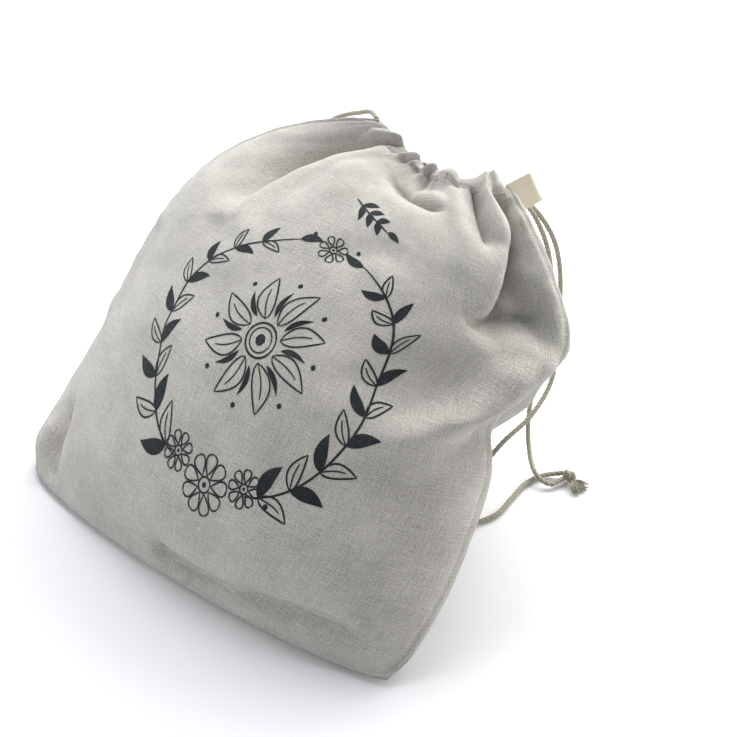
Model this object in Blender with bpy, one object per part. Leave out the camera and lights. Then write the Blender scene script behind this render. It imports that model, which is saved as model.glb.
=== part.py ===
"""Linen bread bag with a gathered drawstring mouth, resting on its full belly.

Rows and folds are written in centimetres in the row frame: X runs along the
bottom seam from the left corner to the right one, Y goes to the back and Z is
up from the table.  The finished pieces are in metres, centred on the box of
the cloth and the label.
"""
import math

import bmesh
import bpy
import numpy as np

# ---------------------------------------------------------------- sizes, cm
CM = 0.01
STRIP_WIDTH = 31.0          # flat bag, seam to seam
STRIP_HEIGHT = 39.0         # flat bag, bottom fold to mouth
CLOTH_STEP = 0.24           # outer skin to inner skin, along the plain normal
SEAM_GAP = 0.04            # hairline between the two panels
SEAM_LEVEL = -0.3          # the seams' plane meets z here at y = 0
SEAM_SLOPE = 0.93          # and climbs this much for each cm of y
CHANNEL_START = 0.955       # v where the drawstring channel begins
CHANNEL_FULLNESS = 0.10
GATHER_FROM = 0.80          # above this v the broad folds shrink into the gather
GATHER_SHRINK = 0.55
FLOOR_BLEND = 0.35
COLUMNS = 40
STEPS = 30
CURVE_SAMPLES = 240
CAVITY_SIDE = 0.035         # share of the width that is solid at each side
CAVITY_CORNER = 0.060       # more of it at the bottom corners
CAVITY_BOTTOM = 0.055       # share of the height that is solid at the bottom
CORD_WIDTH = 0.34

# One row per station up the bag: v, left seam, front crown, right seam,
# back crown, then the fullness powers of the front and of the back.
ROW_FIELDS = ("v", "left", "front", "right", "back", "front_power", "back_power")
ROWS = (
    (0.00, (-14.3, 0.1, 0.5), (-2.0, -1.9, 0.35), (14.3, 0.0, 0.4), (-2.0, -1.9, 0.35), 0.60, 0.60),
    (0.04, (-15.2, 0.9, 1.2), (0.2, -1.7, 2.0), (14.7, 1.0, 1.0), (0.2, 0.0, -0.8), 0.65, 0.70),
    (0.12, (-15.5, 3.4, 2.8), (1.0, -0.9, 5.4), (14.9, 3.6, 2.9), (0.4, 3.2, -1.5), 0.65, 0.60),
    (0.25, (-15.2, 7.8, 6.6), (1.5, 1.4, 10.2), (14.4, 7.6, 5.8), (0.0, 8.2, -1.8), 0.65, 0.60),
    (0.36, (-15.2, 10.4, 9.2), (1.7, 4.0, 13.2), (13.6, 10.6, 8.4), (0.0, 12.2, -1.7), 0.65, 0.60),
    (0.44, (-15.0, 12.0, 11.0), (1.8, 6.2, 14.9), (12.5, 12.2, 9.8), (0.0, 15.0, -1.0), 0.65, 0.60),
    (0.61, (-14.2, 15.8, 14.2), (1.9, 10.8, 17.9), (14.3, 17.0, 13.8), (0.0, 19.6, 3.0), 0.65, 0.65),
    (0.72, (-12.4, 17.8, 16.3), (2.1, 13.6, 19.2), (12.5, 18.0, 16.9), (0.4, 21.8, 6.8), 0.70, 0.65),
    (0.84, (-8.8, 19.8, 18.5), (2.4, 16.5, 19.8), (10.3, 19.0, 18.9), (1.2, 23.0, 11.6), 0.70, 0.70),
    (0.93, (-5.0, 20.7, 20.0), (2.7, 18.5, 19.8), (8.3, 20.0, 19.9), (2.0, 23.2, 15.0), 0.70, 0.70),
    (1.00, (-2.4, 21.2, 20.6), (2.9, 19.5, 20.2), (6.9, 21.0, 19.8), (2.2, 22.7, 17.2), 0.70, 0.70),
)

# One row per fold: name, side, path of (u, v), half-width on the cloth in cm,
# height in cm (a trough is negative), fade at the start and at the end as a
# share of the path (0 leaves that end open, as at the mouth).
FOLDS = (
    ("lip_crease", "front", ((0.06, 0.03), (0.42, 0.04), (0.58, 0.04), (0.78, 0.065), (0.95, 0.07)),
     0.9, -0.30, 0.2, 0.2),
    ("left_corner_crease", "front", ((0.10, 0.17), (0.09, 0.10), (0.10, 0.03)), 0.9, -0.40, 0.4, 0.3),
    ("left_shoulder_trough", "front",
     ((0.35, 0.98), (0.29, 0.88), (0.30, 0.81), (0.34, 0.73), (0.33, 0.65), (0.35, 0.57)),
     1.6, -0.90, 0.1, 0.45),
    ("left_shoulder_roll", "front", ((0.40, 0.93), (0.39, 0.83), (0.42, 0.74), (0.42, 0.62)),
     2.0, 0.45, 0.3, 0.5),
    ("crown_dimple", "front", ((0.46, 0.93), (0.58, 0.88), (0.72, 0.82)), 1.6, -0.65, 0.25, 0.5),
    ("right_trough_a", "front", ((0.79, 1.00), (0.82, 0.86), (0.85, 0.72)), 1.3, -0.75, 0.0, 0.5),
    ("right_ridge", "front", ((0.86, 1.00), (0.89, 0.84), (0.88, 0.70)), 1.1, 0.55, 0.0, 0.45),
    ("deep_trough_b", "front", ((0.92, 1.00), (0.94, 0.82), (0.92, 0.70), (0.875, 0.60)),
     1.2, -1.20, 0.0, 0.3),
    ("seam_roll", "front", ((0.985, 0.94), (0.985, 0.76), (0.985, 0.62)), 1.0, 0.40, 0.2, 0.3),
    ("hip_ridge", "front",
     ((0.985, 0.60), (0.955, 0.53), (0.92, 0.47), (0.86, 0.41), (0.79, 0.35), (0.68, 0.28)),
     1.6, 1.00, 0.1, 0.5),
    ("hip_hollow", "front", ((0.93, 0.56), (0.85, 0.50), (0.77, 0.44), (0.66, 0.38)), 2.2, -0.85, 0.3, 0.5),
    ("waist_tuck", "front", ((0.99, 0.45), (0.93, 0.40), (0.86, 0.33)), 1.4, -0.55, 0.0, 0.5),
    ("left_flank_sag", "front", ((0.03, 0.52), (0.10, 0.42), (0.20, 0.34)), 2.0, -0.35, 0.2, 0.5),
    ("back_heel_left", "back", ((0.02, 0.40), (0.18, 0.47), (0.38, 0.50)), 1.6, -0.70, 0.1, 0.4),
    ("back_heel_right", "back", ((0.98, 0.47), (0.84, 0.50), (0.66, 0.52)), 1.6, -0.75, 0.1, 0.4),
    ("back_roll_left", "back", ((0.16, 0.92), (0.22, 0.78), (0.24, 0.60)), 1.7, 0.60, 0.2, 0.4),
    ("back_trough_mid", "back", ((0.46, 1.00), (0.42, 0.84), (0.44, 0.66)), 1.7, -0.75, 0.0, 0.4),
    ("back_trough_right", "back", ((0.72, 1.00), (0.76, 0.82), (0.72, 0.62)), 1.6, -0.80, 0.0, 0.4),
    ("back_ridge_right", "back", ((0.62, 0.98), (0.62, 0.80), (0.58, 0.64)), 1.6, 0.55, 0.2, 0.4),
)

# One row per gathered pleat at the mouth: name, side, u at the mouth,
# u and v where it fades, half-width on the cloth and height, in cm.
PLEATS = (
    ("pleat_f1", "front", 0.09, 0.07, 0.84, 1.0, -0.32),
    ("pleat_f2", "front", 0.17, 0.15, 0.87, 0.9, 0.26),
    ("pleat_f3", "front", 0.25, 0.23, 0.86, 0.9, -0.30),
    ("pleat_f4", "front", 0.415, 0.42, 0.88, 0.8, 0.30),
    ("pleat_f5", "front", 0.465, 0.50, 0.87, 0.7, -0.36),
    ("pleat_f6", "front", 0.515, 0.55, 0.90, 0.7, 0.34),
    ("pleat_f7", "front", 0.565, 0.60, 0.88, 0.7, -0.38),
    ("pleat_f8", "front", 0.620, 0.65, 0.90, 0.8, 0.30),
    ("pleat_f9", "front", 0.70, 0.71, 0.87, 1.0, 0.30),
    ("pleat_b1", "back", 0.08, 0.07, 0.86, 1.0, -0.28),
    ("pleat_b2", "back", 0.16, 0.16, 0.88, 0.9, 0.28),
    ("pleat_b3", "back", 0.25, 0.25, 0.85, 0.9, -0.32),
    ("pleat_b4", "back", 0.34, 0.33, 0.88, 0.9, 0.30),
    ("pleat_b5", "back", 0.55, 0.55, 0.86, 0.9, 0.30),
    ("pleat_b6", "back", 0.80, 0.82, 0.88, 0.9, 0.26),
    ("pleat_b7", "back", 0.90, 0.92, 0.86, 0.9, -0.30),
)

# Cord routes, cm in the row frame, hand-chosen points on a smooth curve.
CORD_ROUTES = (
    ("cord_lower",
     ((7.86, 20.88, 19.26), (8.2, 21.4, 18.5), (8.9, 22.3, 16.2), (9.4, 23.0, 12.6), (10.2, 22.7, 9.1),
      (11.0, 21.2, 6.5), (11.1, 18.9, 5.3), (10.6, 16.4, 4.4), (10.1, 14.5, 2.6), (10.3, 13.4, 0.9),
      (11.0, 13.5, 0.22), (11.6, 14.6, 0.20), (11.6, 16.6, 0.20), (11.55, 18.2, 0.20), (12.0, 19.5, 0.20),
      (13.0, 20.35, 0.40))),
    ("cord_upper",
     ((7.49, 21.15, 19.20), (8.1, 21.95, 18.2), (8.9, 23.1, 16.0), (9.3, 24.1, 12.2), (9.4, 23.9, 8.2),
      (9.1, 22.6, 4.9), (9.6, 21.2, 2.6), (10.4, 20.2, 1.3), (11.1, 19.5, 0.82), (11.75, 19.0, 0.68),
      (12.4, 18.85, 0.46), (12.95, 19.1, 0.30), (13.2, 19.72, 0.32))),
    ("cord_loop",
     ((-3.12, 21.44, 20.27), (-3.9, 21.95, 20.2), (-5.3, 22.3, 19.5), (-7.0, 22.5, 18.5), (-8.7, 22.6, 17.0),
      (-10.0, 22.3, 15.2), (-10.6, 21.8, 13.2), (-10.1, 21.5, 11.6), (-8.6, 22.2, 11.0), (-6.9, 23.0, 11.8),
      (-5.4, 23.4, 13.8), (-4.0, 23.3, 16.2), (-3.3, 22.8, 17.8), (-2.75, 22.46, 18.7))),
)

# The end knot and its frayed tails: centre, radii, then the far point of
# each tail and its width there, cm in the row frame.
KNOT_CENTRE = (13.55, 20.25, 0.46)
KNOT_RADII = (0.42, 0.40, 0.42)
KNOT_TAILS = (
    ("tail_long", (14.8, 20.5, 0.30), 0.30),
    ("tail_mid", (14.7, 19.7, 0.22), 0.28),
    ("tail_short", (14.1, 19.2, 0.24), 0.26),
)

# The folded label tape sewn into the right seam under the mouth, cm.
LABEL_ROOT_TOP = (7.52, 20.71, 20.13)
LABEL_ROOT_LOW = (8.61, 20.31, 18.73)
LABEL_TIP_TOP = (8.25, 21.75, 20.70)
LABEL_TIP_LOW = (9.40, 21.60, 19.45)
LABEL_LAYER = 0.09
LABEL_GAP = 0.10
LABEL_BOW = 0.10

COLOURS = {
    "linen": (0.56, 0.52, 0.46, 1.0),
    "label_cotton": (0.82, 0.74, 0.60, 1.0),
    "cord_cotton": (0.40, 0.38, 0.28, 1.0),
}


# ------------------------------------------------------------ the cloth form
def smooth_rows(stations, values, at):
    """Read a smooth curve through table rows at one station."""
    span = np.diff(stations)
    slope = np.diff(values, axis=0) / span[:, None]
    lean = np.zeros_like(values)
    lean[1:-1] = (slope[:-1] * span[1:, None] + slope[1:] * span[:-1, None]) / (span[:-1] + span[1:])[:, None]
    lean[0] = slope[0]
    lean[-1] = slope[-1]
    i = int(np.clip(np.searchsorted(stations, at, side="right") - 1, 0, len(stations) - 2))
    t = (at - stations[i]) / span[i]
    start = values[i] * (1 + 2 * t) * (1 - t) ** 2 + lean[i] * span[i] * t * (1 - t) ** 2
    end = values[i + 1] * t * t * (3 - 2 * t) + lean[i + 1] * span[i] * t * t * (t - 1)
    return start + end


def row_at(v):
    """Left, front, right and back points and the two powers at height v."""
    stations = np.array([row[0] for row in ROWS])
    values = np.array([(*row[1], *row[2], *row[3], *row[4], row[5], row[6]) for row in ROWS])
    mix = smooth_rows(stations, values, v)
    return mix[0:3], mix[3:6], mix[6:9], mix[9:12], mix[12], mix[13]


def rest_on_table(z):
    """Flatten everything that would sink below the table, with a soft edge."""
    soft = (z + FLOOR_BLEND) ** 2 / (4 * FLOOR_BLEND)
    return np.where(z > FLOOR_BLEND, z, np.where(z < -FLOOR_BLEND, 0.0, soft))


def half_section(left, crown, right, power, u):
    """One half of the bag's section, its points spaced evenly along it."""
    s = -np.cos(np.linspace(0.0, math.pi, CURVE_SAMPLES))
    middle = (left + right) / 2
    reach = (right - left) / 2
    curve = middle + reach * s[:, None] + (crown - middle) * ((1 - s * s) ** power)[:, None]
    curve[:, 2] = rest_on_table(curve[:, 2])
    run = np.concatenate(([0.0], np.cumsum(np.linalg.norm(np.diff(curve, axis=0), axis=1))))
    at = u * run[-1]
    return np.stack([np.interp(at, run, curve[:, k]) for k in range(3)], axis=1)


def plain_grid(side, u_grid, v_list):
    """Points of one side without its folds, shaped (rows, columns, 3)."""
    grid = np.zeros((len(v_list), u_grid.shape[1], 3))
    for i, v in enumerate(v_list):
        left, front, right, back, front_power, back_power = row_at(v)
        crown, power = (front, front_power) if side == "front" else (back, back_power)
        grid[i] = half_section(left, crown, right, power, u_grid[i])
    return grid


def out_normals(grid, side):
    """Unit normals of a grid, facing out of the bag."""
    across = np.gradient(grid, axis=1)
    up = np.gradient(grid, axis=0)
    normal = np.cross(across, up)
    size = np.linalg.norm(normal, axis=2, keepdims=True)
    normal = normal / np.maximum(size, 1e-9)
    return normal if side == "front" else -normal


def fade(t, start, end):
    """Rise from the start of a path and fall to its end."""
    rise = np.clip(t / start, 0, 1) if start > 0 else np.ones_like(t)
    fall = np.clip((1 - t) / end, 0, 1) if end > 0 else np.ones_like(t)
    return (rise * rise * (3 - 2 * rise)) * (fall * fall * (3 - 2 * fall))


def along_path(path, u, v):
    """Distance on the cloth, in cm, to a (u, v) path, and the share along it."""
    knots = np.linspace(0.0, 1.0, len(path))
    fine = np.linspace(0.0, 1.0, 8 * len(path))
    points = np.array([smooth_rows(knots, np.array(path), at) for at in fine])
    points = points * (STRIP_WIDTH, STRIP_HEIGHT)
    here = np.stack((u * STRIP_WIDTH, v * STRIP_HEIGHT), axis=-1)
    near = np.full(u.shape, 1e9)
    share = np.zeros(u.shape)
    for k in range(len(points) - 1):
        leg = points[k + 1] - points[k]
        t = np.clip(((here - points[k]) @ leg) / (leg @ leg), 0, 1)
        gap = np.linalg.norm(here - points[k] - t[..., None] * leg, axis=-1)
        closer = gap < near
        near = np.where(closer, gap, near)
        share = np.where(closer, (k + t) / (len(points) - 1), share)
    return near, share


def fold_height(side, u, v):
    """Sum of the folds, the pleats and the channel's fullness, in cm."""
    total = np.zeros(u.shape)
    for name, where, path, half_width, height, start, end in FOLDS:
        if where == side:
            gap, share = along_path(path, u, v)
            total += height * np.exp(-(gap / half_width) ** 2) * fade(share, start, end)
    total *= 1 - GATHER_SHRINK * np.clip((v - GATHER_FROM) / (1 - GATHER_FROM), 0, 1)
    for name, where, u_mouth, u_low, v_low, half_width, height in PLEATS:
        if where == side:
            gap, share = along_path(((u_mouth, 1.0), (u_low, v_low)), u, v)
            total += height * np.exp(-(gap / half_width) ** 2) * fade(share, 0, 0.9)
    in_channel = np.clip((v - CHANNEL_START) / 0.012, 0, 1)
    total += CHANNEL_FULLNESS * in_channel
    seam_hold = np.clip(np.minimum(u, 1 - u) / 0.05, 0, 1)
    bottom_hold = np.clip(v / 0.03, 0, 1)
    return total * seam_hold * bottom_hold


def skins():
    """Outer and inner grids of the front and back, in cm."""
    v_out = np.linspace(0.0, 1.0, STEPS + 1)
    u_out = np.tile(np.linspace(0.0, 1.0, COLUMNS + 1), (STEPS + 1, 1))
    v_in = CAVITY_BOTTOM + (1 - CAVITY_BOTTOM) * np.linspace(0.0, 1.0, STEPS + 1)
    side_in = CAVITY_SIDE + CAVITY_CORNER * np.exp(-((v_in - CAVITY_BOTTOM) / 0.10) ** 2)
    u_in = side_in[:, None] + (1 - 2 * side_in[:, None]) * np.linspace(0.0, 1.0, COLUMNS + 1)
    v_out_grid = np.tile(v_out[:, None], (1, COLUMNS + 1))
    v_in_grid = np.tile(v_in[:, None], (1, COLUMNS + 1))
    result = {}
    for side in ("front", "back"):
        plain = plain_grid(side, u_out, v_out)
        outer = plain + out_normals(plain, side) * fold_height(side, u_out, v_out_grid)[..., None]
        outer[..., 2] = np.maximum(outer[..., 2], 0.0)
        plain = plain_grid(side, u_in, v_in)
        lift = fold_height(side, u_in, v_in_grid) - CLOTH_STEP
        inner = plain + out_normals(plain, side) * lift[..., None]
        inner[..., 2] = np.maximum(inner[..., 2], CLOTH_STEP)
        result[side] = (outer, inner)
    for edge in (0, -1):
        mean = (result["front"][0][:, edge] + result["back"][0][:, edge]) / 2
        result["front"][0][:, edge] = mean
        result["back"][0][:, edge] = mean
    mean = (result["front"][0][0] + result["back"][0][0]) / 2
    result["front"][0][0] = mean
    result["back"][0][0] = mean
    return result


# ------------------------------------------------------------- mesh helpers
def clear_scene():
    """Take every object out of the file."""
    for item in list(bpy.data.objects):
        bpy.data.objects.remove(item, do_unlink=True)


def material(name):
    """A plain Principled material in its named colour."""
    made = bpy.data.materials.new(name)
    made.use_nodes = True
    shader = made.node_tree.nodes["Principled BSDF"]
    shader.inputs["Base Color"].default_value = COLOURS[name]
    shader.inputs["Roughness"].default_value = 0.9
    return made


def new_object(name, bm, slot):
    """Turn a bmesh into a named object with faces out."""
    bmesh.ops.recalc_face_normals(bm, faces=bm.faces)
    if bm.calc_volume(signed=True) < 0:
        bmesh.ops.reverse_faces(bm, faces=bm.faces)
    mesh = bpy.data.meshes.new(name)
    bm.to_mesh(mesh)
    bm.free()
    made = bpy.data.objects.new(name, mesh)
    made.data.materials.append(material(slot))
    bpy.context.scene.collection.objects.link(made)
    return made


def metres(point):
    """A row-frame point in metres."""
    return tuple(float(c) * CM for c in point)


def bag_mesh():
    """The bag's cloth: one strip folded at the bottom and sewn at its sides."""
    grids = skins()
    bm = bmesh.new()
    rings = []
    for layer in (0, 1):
        front, back = grids["front"][layer], grids["back"][layer]
        top = []
        for i in range(STEPS + 1):
            ahead = [bm.verts.new(metres(p)) for p in front[i]]
            if layer == 0 and i == 0:
                behind = ahead
            elif layer == 0:
                behind = [ahead[0], *(bm.verts.new(metres(p)) for p in back[i][1:-1]), ahead[-1]]
            else:
                behind = [bm.verts.new(metres(p)) for p in back[i]]
            top.append((ahead, behind))
        rings.append(top)
    for layer, rows in enumerate(rings):
        for i in range(STEPS):
            for half in (0, 1):
                low, high = rows[i][half], rows[i + 1][half]
                for j in range(COLUMNS):
                    quad(bm, (low[j], low[j + 1], high[j + 1], high[j]))
            if layer == 1:
                for j in (0, COLUMNS):
                    quad(bm, (rows[i][0][j], rows[i][1][j], rows[i + 1][1][j], rows[i + 1][0][j]))
    inner_floor = rings[1][0]
    for j in range(COLUMNS):
        quad(bm, (inner_floor[0][j], inner_floor[0][j + 1], inner_floor[1][j + 1], inner_floor[1][j]))
    outer_rim, inner_rim = rings[0][-1], rings[1][-1]
    for half in (0, 1):
        for j in range(COLUMNS):
            quad(bm, (outer_rim[half][j], outer_rim[half][j + 1], inner_rim[half][j + 1], inner_rim[half][j]))
    for j in (0, COLUMNS):
        quad(bm, (outer_rim[0][j], inner_rim[0][j], inner_rim[1][j]))
    bmesh.ops.recalc_face_normals(bm, faces=bm.faces)
    return bm


def build_panel(name, whole, side):
    """The cloth on one side (1 front, -1 back) of the plane of the seams."""
    bm = whole.copy()
    up = np.array((0.0, -SEAM_SLOPE, 1.0)) / math.hypot(1.0, SEAM_SLOPE)
    start = np.array((0.0, 0.0, SEAM_LEVEL)) + side * SEAM_GAP / 2 * up
    geometry = bm.verts[:] + bm.edges[:] + bm.faces[:]
    cut = bmesh.ops.bisect_plane(bm, geom=geometry, dist=1e-6, plane_co=metres(start), plane_no=tuple(up),
                                 clear_inner=side > 0, clear_outer=side < 0)
    rim = [item for item in cut["geom_cut"] if isinstance(item, bmesh.types.BMEdge)]
    bmesh.ops.triangle_fill(bm, edges=rim, use_beauty=True)
    return new_object(name, bm, "linen")


def quad(bm, verts):
    """Add a face, leaving out repeated corners."""
    corners = list(dict.fromkeys(verts))
    if len(corners) > 2:
        bm.faces.new(corners)


def build_label():
    """The folded tape: two layers joined at the outer fold."""
    top, low = np.array(LABEL_ROOT_TOP), np.array(LABEL_ROOT_LOW)
    tip_top, tip_low = np.array(LABEL_TIP_TOP), np.array(LABEL_TIP_LOW)
    out = (tip_top + tip_low - top - low) / 2
    reach = np.linalg.norm(out)
    along = (low - top) / np.linalg.norm(low - top)
    face = np.cross(out / reach, along)
    face = face / np.linalg.norm(face)
    half = LABEL_GAP / 2 + LABEL_LAYER
    bend = [(0.0, half), (0.35, half), (0.7, half), (0.92, half * 0.9), (1.0, 0.0)]
    outline = [(t, w) for t, w in bend] + [(t, -w) for t, w in bend[-2::-1]]
    inner = LABEL_GAP / 2
    hollow = [(0.0, inner), (0.35, inner), (0.7, inner), (0.88, inner * 0.8)]
    inside = [(t, w) for t, w in hollow] + [(0.93, 0.0)] + [(t, -w) for t, w in hollow[::-1]]
    loop = outline + inside[::-1]
    bm = bmesh.new()
    stations = []
    for k in range(5):
        share = k / 4
        root = top + (low - top) * share
        tip = tip_top + (tip_low - tip_top) * share
        bow = face * LABEL_BOW * math.sin(math.pi * share)
        stations.append([bm.verts.new(metres(root + (tip - root) * t + face * w + bow * t)) for t, w in loop])
    count = len(loop)
    for a, b in zip(stations[:-1], stations[1:]):
        for j in range(count):
            bm.faces.new((a[j], a[(j + 1) % count], b[(j + 1) % count], b[j]))
    for end in (stations[0], stations[-1]):
        rim, core = end[:len(outline)], end[len(outline):][::-1]
        for j in range(len(outline) - 1):
            quad(bm, (rim[j], rim[j + 1], core[j + 1], core[j]))
    return new_object("label_tab", bm, "label_cotton")


def smooth_route(route, spacing):
    """Points on a smooth curve through a route, at an even spacing."""
    points = np.array(route)
    legs = np.linalg.norm(np.diff(points, axis=0), axis=1)
    stations = np.concatenate(([0.0], np.cumsum(legs)))
    fine = np.array([smooth_rows(stations, points, at) for at in np.linspace(0.0, stations[-1], 400)])
    run = np.concatenate(([0.0], np.cumsum(np.linalg.norm(np.diff(fine, axis=0), axis=1))))
    count = max(4, int(round(run[-1] / spacing)))
    at = np.linspace(0.0, run[-1], count + 1)
    return np.stack([np.interp(at, run, fine[:, k]) for k in range(3)], axis=1)


def build_cord(name, route):
    """A round cord as a bevelled curve with filled ends."""
    curve = bpy.data.curves.new(name, "CURVE")
    curve.dimensions = "3D"
    curve.bevel_depth = CORD_WIDTH / 2 * CM
    curve.bevel_resolution = 2
    curve.use_fill_caps = True
    points = smooth_route(route, CORD_WIDTH * 2.6)
    points[:, 2] = np.maximum(points[:, 2], CORD_WIDTH / 2 + 0.01)
    spline = curve.splines.new("POLY")
    spline.points.add(len(points) - 1)
    for item, point in zip(spline.points, points):
        item.co = (*metres(point), 1.0)
    made = bpy.data.objects.new(name, curve)
    made.data.materials.append(material("cord_cotton"))
    bpy.context.scene.collection.objects.link(made)
    return made


def build_knot():
    """The end knot: a ridged ball whose frayed tails grow out of it."""
    centre = np.array(KNOT_CENTRE)
    bm = bmesh.new()
    bmesh.ops.create_icosphere(bm, subdivisions=3, radius=1.0)
    targets = [(np.array(tip) - centre, width) for name, tip, width in KNOT_TAILS]
    for vert in bm.verts:
        d = np.array(vert.co)
        turn = math.atan2(d[1], d[0])
        ridge = 1 + 0.10 * math.cos(3 * turn + 5 * d[2])
        vert.co = centre + d * np.array(KNOT_RADII) * ridge
    for reach, width in targets:
        direction = reach / np.linalg.norm(reach)
        pick = max(bm.faces, key=lambda f: float(np.array(f.normal) @ direction))
        grow_tail(bm, pick, centre + reach, direction, width)
    for vert in bm.verts:
        vert.co = metres(vert.co)
        vert.co.z = max(vert.co.z, 0.0005)
    return new_object("end_knot", bm, "cord_cotton")


def grow_tail(bm, face, tip, direction, width):
    """Extrude one face out to a tip in three widening, then narrowing steps."""
    start = np.array(face.calc_center_median())
    for share, size in ((0.25, 0.75), (0.6, 1.0), (1.0, 0.7)):
        grown = bmesh.ops.extrude_discrete_faces(bm, faces=[face])["faces"]
        face = grown[0]
        place = start + (tip - start) * share
        middle = np.array(face.calc_center_median())
        for vert in face.verts:
            offset = np.array(vert.co) - middle
            offset = offset - direction * (offset @ direction)
            offset = offset / max(np.linalg.norm(offset), 1e-6)
            vert.co = place + offset * width * size / 2


def centre_pieces(made, trim):
    """Move every piece so the box of the cloth and label is centred, base at 0."""
    low = np.full(3, 1e9)
    high = np.full(3, -1e9)
    for item in made:
        corners = np.array([v.co for v in item.data.vertices])
        low = np.minimum(low, corners.min(axis=0))
        high = np.maximum(high, corners.max(axis=0))
    shift = np.array(((low[0] + high[0]) / 2, (low[1] + high[1]) / 2, low[2]))
    for item in (*made, *trim):
        if item.type == "CURVE":
            for point in item.data.splines[0].points:
                point.co = (*(np.array(point.co[:3]) - shift), 1.0)
        else:
            for vert in item.data.vertices:
                vert.co = np.array(vert.co) - shift


def main():
    clear_scene()
    whole = bag_mesh()
    front = build_panel("panel_front", whole, 1)
    back = build_panel("panel_back", whole, -1)
    whole.free()
    label = build_label()
    cords = [build_cord(name, route) for name, route in CORD_ROUTES]
    knot = build_knot()
    centre_pieces((front, back, label), (*cords, knot))


main()
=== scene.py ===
"""Looks of a linen bread bag with a gathered drawstring mouth.

Tables are in centimetres in the row frame of the part's own source: X along
the bottom seam, Y to the back, Z up.  ROW_SHIFT moves them into the shared
frame.
"""
import logging
import math
from dataclasses import dataclass, field
from enum import Enum

import bmesh
import bpy
import numpy as np
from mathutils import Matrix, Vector


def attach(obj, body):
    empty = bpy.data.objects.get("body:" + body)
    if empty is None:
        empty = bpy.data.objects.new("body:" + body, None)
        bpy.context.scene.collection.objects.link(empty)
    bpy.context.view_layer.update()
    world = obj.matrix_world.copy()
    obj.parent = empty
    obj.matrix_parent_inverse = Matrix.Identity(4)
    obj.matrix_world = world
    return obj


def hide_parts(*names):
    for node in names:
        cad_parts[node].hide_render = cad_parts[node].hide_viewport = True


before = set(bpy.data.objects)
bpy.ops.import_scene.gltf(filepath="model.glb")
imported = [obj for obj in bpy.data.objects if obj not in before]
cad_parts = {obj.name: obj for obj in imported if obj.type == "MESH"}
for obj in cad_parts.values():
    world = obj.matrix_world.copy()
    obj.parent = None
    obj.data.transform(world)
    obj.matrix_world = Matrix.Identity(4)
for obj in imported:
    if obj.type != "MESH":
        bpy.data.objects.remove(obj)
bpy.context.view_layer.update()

logging.basicConfig(level=logging.INFO, format="%(name)s: %(message)s")
log = logging.getLogger("bread_bag")

Array = np.ndarray
Point = tuple[float, float, float]
Socket = bpy.types.NodeSocket
Material = bpy.types.Material
Object = bpy.types.Object

CM = 0.01
ROW_SHIFT = (0.306, -10.714, 0.0)     # row frame to shared frame, cm
TINY = 1e-9
WELD = 1e-6                           # points closer than this are one, m
ROUTE_STEPS = 600


class Side(Enum):
    """The two faces of the bag."""

    FRONT = "front"
    BACK = "back"


class Lay(Enum):
    LOOSE = "loose"
    HANGING = "hanging"


# --------------------------------------------------------------- the tables
@dataclass(frozen=True)
class Station:
    """One section of the bag: height share, four points and two powers."""

    v: float
    left: Point
    front: Point
    right: Point
    back: Point
    front_power: float
    back_power: float


@dataclass(frozen=True)
class Fold:
    """One fold: a (u, v) path, its half-width and height in cm, its fades.

    A lean above 0 makes the slope on the path's left steeper than the other.
    An edge power of 2 gives a round bottom and 1 a tight crease.  The tuck is
    how far, in cm, the steep side is drawn over the crease.
    """

    name: str
    side: Side
    path: tuple[tuple[float, float], ...]
    half_width: float
    height: float
    fade_in: float
    fade_out: float
    lean: float = 0.0
    edge: float = 2.0
    tuck: float = 0.0


@dataclass(frozen=True)
class Pleat:
    """One gathered pleat that grows from (u_low, v_low) to the mouth."""

    name: str
    side: Side
    u_mouth: float
    u_low: float
    v_low: float
    half_width: float
    height: float


@dataclass(frozen=True)
class CordRoute:
    """One free run of the drawstring, its points in cm in the row frame."""

    name: str
    far_end: str
    lay: Lay
    points: tuple[Point, ...]


STATIONS = (
    Station(0.00, (-14.3, 0.1, 0.5), (-2.0, -1.9, 0.35), (14.3, 0.0, 0.4), (-2.0, -1.9, 0.35),
            0.60, 0.60),
    Station(0.04, (-15.2, 0.9, 1.2), (0.2, -1.7, 2.0), (14.7, 1.0, 1.0), (0.2, 0.0, -0.8),
            0.65, 0.70),
    Station(0.12, (-15.5, 3.4, 2.8), (1.0, -0.9, 5.4), (14.9, 3.6, 2.9), (0.4, 3.2, -1.5),
            0.65, 0.60),
    Station(0.25, (-15.2, 7.8, 6.6), (1.5, 1.4, 10.2), (14.4, 7.6, 5.8), (0.0, 8.2, -1.8),
            0.65, 0.60),
    Station(0.36, (-15.2, 10.4, 9.2), (1.7, 4.0, 13.2), (13.6, 10.6, 8.4), (0.0, 12.2, -1.7),
            0.65, 0.60),
    Station(0.44, (-15.0, 12.0, 11.0), (1.8, 6.2, 14.9), (12.5, 12.2, 9.8), (0.0, 15.0, -1.0),
            0.65, 0.60),
    Station(0.61, (-14.2, 15.8, 14.2), (1.9, 10.8, 17.9), (14.3, 17.0, 13.8), (0.0, 19.6, 3.0),
            0.65, 0.65),
    Station(0.72, (-12.4, 17.8, 16.3), (2.1, 13.6, 19.2), (12.5, 18.0, 16.9), (0.4, 21.8, 6.8),
            0.70, 0.65),
    Station(0.84, (-8.8, 19.8, 18.5), (2.4, 16.5, 19.8), (10.3, 19.0, 18.9), (1.2, 23.0, 11.6),
            0.70, 0.70),
    Station(0.93, (-5.0, 20.7, 20.0), (2.7, 18.5, 19.8), (8.3, 20.0, 19.9), (2.0, 23.2, 15.0),
            0.70, 0.70),
    Station(1.00, (-2.4, 21.2, 20.6), (2.9, 19.5, 20.2), (6.9, 21.0, 19.8), (2.2, 22.7, 17.2),
            0.70, 0.70),
)

F, B = Side.FRONT, Side.BACK

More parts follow.
